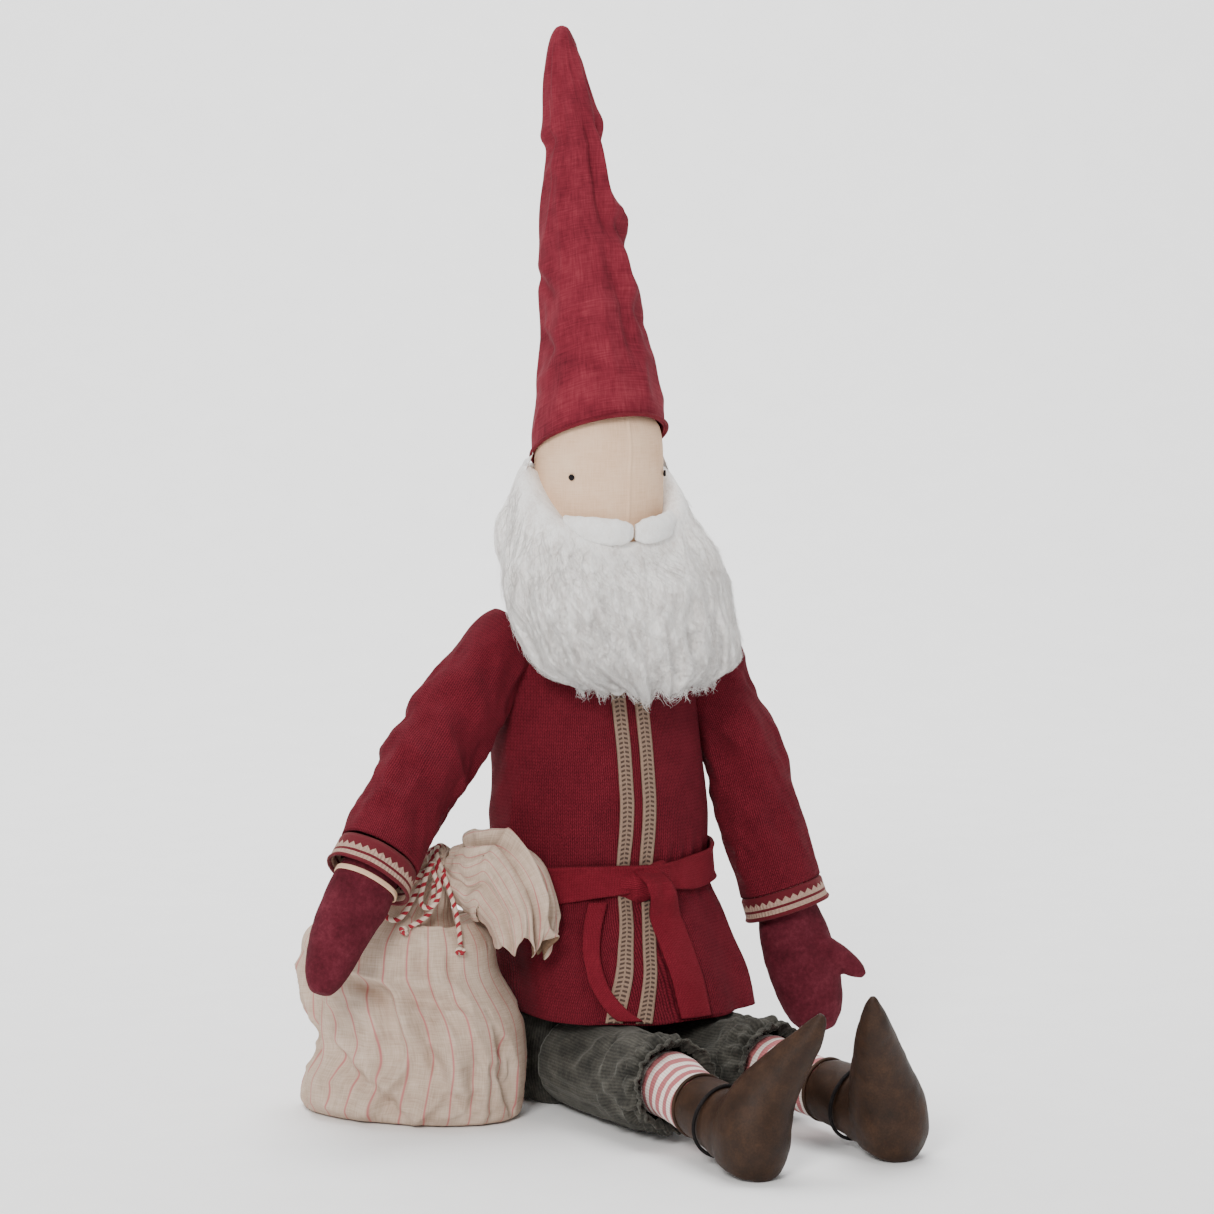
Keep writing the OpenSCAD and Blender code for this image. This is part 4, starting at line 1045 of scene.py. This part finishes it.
def build_coat():
    A = turns(260)[None, :]
    P = body_points(*np.broadcast_arrays(np.linspace(0, 1, 110)[:, None], A))
    body = loft("coat_body_knit", P, RED_KNIT, caps=(True, True), girth=COAT_GIRTH)
    dress(body, "torso", "red_knit", "coat_body", "torso_stuffing", fill=0.85)

    P = skirt_points(*np.broadcast_arrays(np.linspace(0, 1, 80)[:, None], A))
    skirt = loft("coat_skirt_knit", P, RED_KNIT, girth=COAT_GIRTH, thick=2.8)
    dress(skirt, "torso", "red_knit", "coat_skirt", "pellet_bag")
    inner = P[0] + (P[0].mean(0) - P[0]) * 0.022
    hem_line = np.vstack([inner, inner[:1]]) + np.array([0, 0, 1.2])
    hem, _ = tube("coat_hem_roll", hem_line, 3.0, RED_KNIT, side=(0, 0, 1), per_mm=0.5, around=12)
    dress(hem, "torso", "red_knit")


def coat_front(x, z, out):
    """The coat's front at a place, by searching the angle of the outside there."""
    a = np.radians(np.linspace(180, 360, 361))
    if z < SKIRT_TOP:
        ring = skirt_points(np.full(361, (z - HEM_Z) / (SKIRT_TOP - HEM_Z)), a, out)
    else:
        ring = body_points(np.full(361, (z - BODY_LOW) / (BODY_TOP - BODY_LOW)), a, out)
    return np.interp(x, ring[:, 0], ring[:, 1])


def front_strip(name, rows, out, thick, material, across=9, along=90, curl=0.0, wave=0.0):
    """A strip that lies on the coat's front: rows height, middle x, half width from the bottom up."""
    fine = curve(rows, along)
    w = np.linspace(-1, 1, across)
    P = np.zeros((along, across, 3))
    for i, (z, x, half) in enumerate(fine):
        gap = out(z) if callable(out) else out
        for j, k in enumerate(w):
            bulge = wave * math.sin(z / 11 + k) - curl * k * k
            P[i, j] = (x + k * half, coat_front(x + k * half, z, gap) - bulge, z)
    strip = loft(name, P, material, wrap=False, girth=2 * fine[:, 2].mean(), thick=thick)
    strip.modifiers["wall"].offset = 0
    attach(strip, "torso")
    return strip


def build_bands():
    drift = [[67, -24], [90, -16], [118, -8], [142, -2], [168, 0], [200, 4], [240, 4], [290, 3]]
    for side, name in ((-1, "front_band_right"), (1, "front_band_left")):
        rows = [[z, x + side * 8.5, 5] for z, x in drift]
        band = front_strip(name + "_crochet", rows, 0.9, 1.4, FRONT_BAND, along=150)
        dress(band, None, "band_crochet", name)


def build_belt():
    around = 220
    a = turns(around)
    z = np.linspace(143.5, 166.5, 15)
    Z, A = np.broadcast_arrays(z[:, None], a[None, :])
    x, y = 1 + 81.5 * np.cos(A), -0.3 + (61.8 + 0.07 * (BELT_Z - Z)) * np.sin(A)
    drawn_in = 0.35 * np.exp(-((A - math.radians(275)) / 0.45) ** 2)
    tilt = 3.5 * np.cos(A + 0.4) + 1.5 * np.sin(A * 3 + 1) - (Z - BELT_Z) * drawn_in
    roll = 1.6 * np.abs((Z - BELT_Z) / 11.5) ** 4
    P = np.stack([x, y, Z + tilt], -1)
    P = pushed(P, 1.2 + roll + 0.8 * noise(P / 14, 91) + 0.7 * np.sin(A * 9 + (Z - BELT_Z) / 7) - 0.2)
    loop = loft("belt_loop_knit", P, BELT_KNIT, girth=440, thick=2.6)
    dress(loop, "torso", "dark_red_knit", "belt_loop")

    front = coat_front(7, 157, 0) - 6
    rows = [[x + 4, y + front - 1, z + 154, a_, b_] for x, y, z, a_, b_ in
            [[-21, 8, -3, 2.5, 8], [-14, 3, -3, 5, 9.5], [-4, 0, -2, 6.5, 10.5], [7, 0, 1, 6.5, 11],
             [16, 4, 3, 5, 10], [22, 9, 3, 2.5, 8]]]
    P = path_ovals(rows, 60, 60, (0, -1, 0))
    P = pushed(P, 1.3 * crease(P / np.array([9, 9, 16]), 93) + 0.5 * noise(P / 5, 94))
    knot = loft("belt_knot_knit", P, BELT_KNIT, caps=(True, True))
    dress(knot, "torso", "dark_red_knit", "belt_knot")

    wide = front_strip("belt_end_wide_knit", [[68, 23, 11.5], [85, 22, 12], [105, 20, 12.5], [125, 17, 12],
                                              [141, 13, 10.5], [154, 9, 9.5], [164, 5, 8.5]],
                       lambda z: 3.8 + 14.5 * step(128, 150, z) - 14.5 * step(155.5, 164, z), 3.0, BELT_KNIT,
                       across=17, along=120, curl=1.6, wave=0.6)
    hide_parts("belt_end_wide")
    narrow = front_strip("belt_end_narrow_knit", [[69, -24, 6.8], [76, -31, 5.8], [90, -38, 5.2],
                                                  [108, -40, 5], [126, -37, 5.4], [143, -30, 6]],
                         3.6, 2.8, BELT_KNIT, across=9, curl=0.8, wave=0.5)
    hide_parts("belt_end_narrow")


# ---- arms
def build_arms():
    for side, word in ((-1, "right"), (1, "left")):
        arm = "arm_" + word
        path = SLEEVES[side]
        P = path_ovals(path, 130, 120)
        a, t = grid_of(P)
        free = step(0.1, 0.3, t) * (1 - 0.8 * step(0.86, 1, t))
        ring = round_at(a, t * 6 + 0.6 * np.sin(a), 1.1)
        lift = (3.6 * crease(ring, 101 + side) + 2.0 * noise(ring * 2.1, 103 + side)
                + 0.8 * noise(ring * 4.5, 105))
        P = pushed(P, lift * free)
        sleeve = loft(f"sleeve_{word}_knit", P, RED_KNIT, caps=(True, False), girth=SLEEVE_GIRTH, thick=2.6)
        dress(sleeve, None, "red_knit", "sleeve_" + word, "arm_stuffing_" + word, fill=0.7)
        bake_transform(sleeve)

        P = path_ovals(CUFFS[side], 24, 140)[::-1][:, ::-1]
        _, t = grid_of(P)
        hem = 1.2 * np.exp(-((t - 0.06) / 0.08) ** 2)
        P = pushed(P, 0.7 * noise(P / 12, 107) + hem - 1.2 * step(0.85, 1, t))
        cuff = loft(f"cuff_border_{word}_crochet", P, CUFF_BAND, girth=8.0 * 22, thick=2.4)
        dress(cuff, arm, "band_crochet", "cuff_border_" + word)

        parts = [path_ovals(MITTENS[side], 60, 48), path_ovals(THUMBS[side], 24, 24)]
        mitten = fused(f"mitten_{word}_wool", parts, MITTEN_WOOL, 1.6, 8)
        moved_vertices(mitten, lambda p: 0.8 * noise(p / 16, 109) + 0.3 * noise(p / 6, 110))
        dress(mitten, arm, "mitten_wool", "mitten_" + word, fill=0.8)
        if side < 0:
            rows = [[-189.6, -41.0, 168.4, 17.6, 23.2], [-191.4, -41.9, 165.8, 17.9, 23.5]]
            P = path_ovals(rows, 10, 80)
            rim = loft("mitten_lining_right_linen", pushed(P, 0.4 * noise(P / 8, 111)), FACE_LINEN, thick=1.2)
            dress(rim, arm, "face_linen", "mitten_lining_right")


# ---- legs
def from_leg(P, side):
    """Points of a leg's frame, which runs along -y, in the row frame."""
    c, s = math.cos(LEG_TURN[side]), math.sin(LEG_TURN[side])
    P = np.asarray(P, float)
    x, y, z = P[..., 0], P[..., 1], P[..., 2]
    return np.stack([x * c - y * s + side * HIP_X, x * s + y * c + HIP_Y, z], -1)


def knee_z(side):
    return THIGH_R + (KNEE_AT[side] - HIP_AT[side]) * math.tan(LIFT)


def build_legs():
    for side, word in ((-1, "right"), (1, "left")):
        thigh_body, shin = "thigh_front_" + word, "shin_" + word
        hip, knee, knee_up = HIP_AT[side], KNEE_AT[side], knee_z(side)
        path = [[0, -26, 32, 30, 30], [0, -60, 32, 31, 31], [0, -hip + 8, 32.5, 31, 31],
                [0, -hip - 12, 35, 31.5, 31],
                [0, -knee + 12, knee_up - 1, 31.5, 31], [0, -knee + 2, knee_up, 29.5, 29.5],
                [0, -knee - 5, knee_up + 0.5, 25.5, 25.5]]
        P = path_ovals(path, 110, 200, (1, 0, 0))
        a, t = grid_of(P)
        ring = round_at(a, t * 5, 1.6)
        gather = step(0.62, 0.97, t)
        pleats = (np.sin(a * 15 + 3 * noise(ring * 1.2, 121))
                  + 0.5 * np.sin(a * 26 + 3 * noise(ring * 1.6, 122)))
        folds = 3.4 * crease(ring, 123 + side) + 2.4 * noise(ring * 2, 124)
        lift = folds * step(0.05, 0.3, t) * (1 - 0.5 * gather)
        P = pushed(P, lift + pleats * (0.25 + 2.1 * gather) + 2.2 * np.exp(-((t - 0.86) / 0.1) ** 2))
        leg = loft(f"trouser_leg_{word}_corduroy", from_leg(on_floor(P, 0.4), side), CORDUROY,
                   caps=(True, False), girth=TROUSER_GIRTH, thick=1.4)
        dress(leg, None, "grey_corduroy", "thigh_" + word, "trouser_leg_" + word, fill=0.75)
        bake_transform(leg)

        rows = [[0, -knee - 2, knee_up + 0.3, 25.5, 25.5], [0, -knee - 5, knee_up + 0.5, 27, 27],
                [0, -knee - 9, knee_up + 0.8, 30, 30], [0, -knee - 12.5, knee_up + 1, 30.5, 30.5]]
        P = path_ovals(rows, 26, 240, (1, 0, 0))
        a, t = grid_of(P)
        frill = (np.sin(a * 17 + 2.5 * np.sin(a * 3)) * (0.4 + 0.7 * t)
                 + 0.5 * np.sin(a * 31 + 2 * np.sin(a * 2)))
        P = pushed(P, frill)
        P[..., 1] += 0.8 * np.sin(a * 5 + 1.2) * t
        hem = loft(f"knee_hem_{word}_corduroy", from_leg(on_floor(P, 0.4), side), CORDUROY,
                   girth=TROUSER_GIRTH, thick=1.2)
        dress(hem, thigh_body, "grey_corduroy", "knee_hem_" + word)

        rows = [[0, -knee + 12, knee_up - 1, 20, 20], [0, -knee, knee_up, 21.8, 21.8],
                [0, -knee - 14, knee_up - 1, 21.5, 21.5], [0, -188, 32, 19, 19], [0, -201, 32, 18, 18]]
        P = path_ovals(rows, 70, 90, (1, 0, 0))
        P = pushed(P, 0.6 * noise(P / 14, 131) + 0.5 * crease(P / np.array([20, 9, 20]), 132))
        stocking = loft(f"stocking_{word}_knit", from_leg(P, side), STRIPED_KNIT, caps=(True, True))
        dress(stocking, None, "striped_knit", "stocking_" + word, fill=0.9)
        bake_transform(stocking)
        build_boot(side, word, shin)

    P = oval(SEAT, np.repeat(np.linspace(0, 60, 50)[:, None], 160, 1), turns(160)[None, :])
    P = pushed(P, 1.4 * crease(P / 24, 141) + 0.8 * noise(P / 10, 142))
    seat = loft("trousers_seat_corduroy", on_floor(P), CORDUROY, caps=(True, True))
    dress(seat, "torso", "grey_corduroy", "trousers_seat", fill=0.8)


def build_boot(side, word, shin):
    # How far the tip points inwards and forwards of the heel, and how much taller the toe is
    inward, forward, tall = (32, -34, 1.0) if side < 0 else (-40, -28, 1.07)
    shaft = [[0, -BOOT_TOP, SHAFT_Z, 20.5, 20.5], [0, -202, 32, 21.5, 21.5], [0, -218, 29, 21.5, 21.5],
             [0, -232, 27, 23, 23], [0, -244, 26, 20, 20]]
    # Rows of the sole and toe: height, shares of inward and forward (plain mm in the first two), half sizes
    foot = np.array([[3, 0, 1, 14, 15], [8, 0, 0, 21, 22], [20, 0, 0, 24.5, 25.5], [34, 0.06, 0, 24.5, 25.5],
                     [52, 0.26, 0.12, 20, 21.5], [70, 0.52, 0.38, 15.5, 16], [86, 0.76, 0.68, 11, 11],
                     [99, 0.92, 0.88, 6.8, 6.8], [107.5, 1, 1, 2.6, 2.6]])
    foot[2:, 1] *= inward
    foot[2:, 2] *= forward
    foot[:, 0] *= np.where(foot[:, 0] > 30, tall, 1)
    toe = np.column_stack([foot[:, 1], foot[:, 2] - HEEL_AT, foot[:, 0], foot[:, 3:]])
    parts = [from_leg(path_ovals(rows, n, 48, (1, 0, 0)), side) for rows, n in ((shaft, 40), (toe, 60))]
    boot = fused(f"boot_{word}_leather", parts, BOOT_LEATHER, 1.8, 9)
    moved_vertices(boot, lambda p: 0.5 * noise(p / 18, 151) + 0.25 * noise(p / 6, 152))
    for vertex in boot.data.vertices:
        vertex.co.z = max(vertex.co.z, 0.3 * MM)
    dress(boot, shin, "boot_leather", "boot_" + word, fill=0.9)

    a = turns(49)
    rim_r = 20.3
    rim_route = np.stack([rim_r * np.cos(a), np.full(49, -float(BOOT_TOP)), SHAFT_Z + rim_r * np.sin(a)], -1)
    rim, _ = tube(f"boot_{word}_rim", from_leg(rim_route, side), 2.6, BOOT_LEATHER, side=(0, 1, 0),
                  per_mm=0.5, around=10)
    dress(rim, shin, "boot_leather")

    a = np.linspace(0, 2 * math.pi, 60) + math.radians(-60)
    cord_r, cord_at, cord_z = 23.2, 217, 29
    ring = np.stack([cord_r * np.cos(a), -cord_at + 1.5 * np.sin(a * 2), cord_z + cord_r * np.sin(a)], -1)
    tail = np.array([[10, -216, 7.5], [12, -212, 5.2], [15, -208, 3.2], [19, -203, 2.4]])
    cord, _ = tube(f"ankle_cord_{word}_loop", from_leg(on_floor(ring, 3.2), side), 2.4, BLACK_CORD,
                   side=(0, 1, 0), per_mm=0.7, around=8)
    ends, _ = tube(f"ankle_cord_{word}_tail", from_leg(tail, side), 2.0, BLACK_CORD, per_mm=1.5, around=8)
    dress(cord, shin, "black_cord", "ankle_cord_" + word)
    dress(ends, shin, "black_cord")


# ---- the doll
for build in (build_stage, build_twine, build_sack, build_head, build_hat, build_beard, build_hair,
              build_moustache, build_coat, build_bands, build_belt, build_arms, build_legs):
    build()
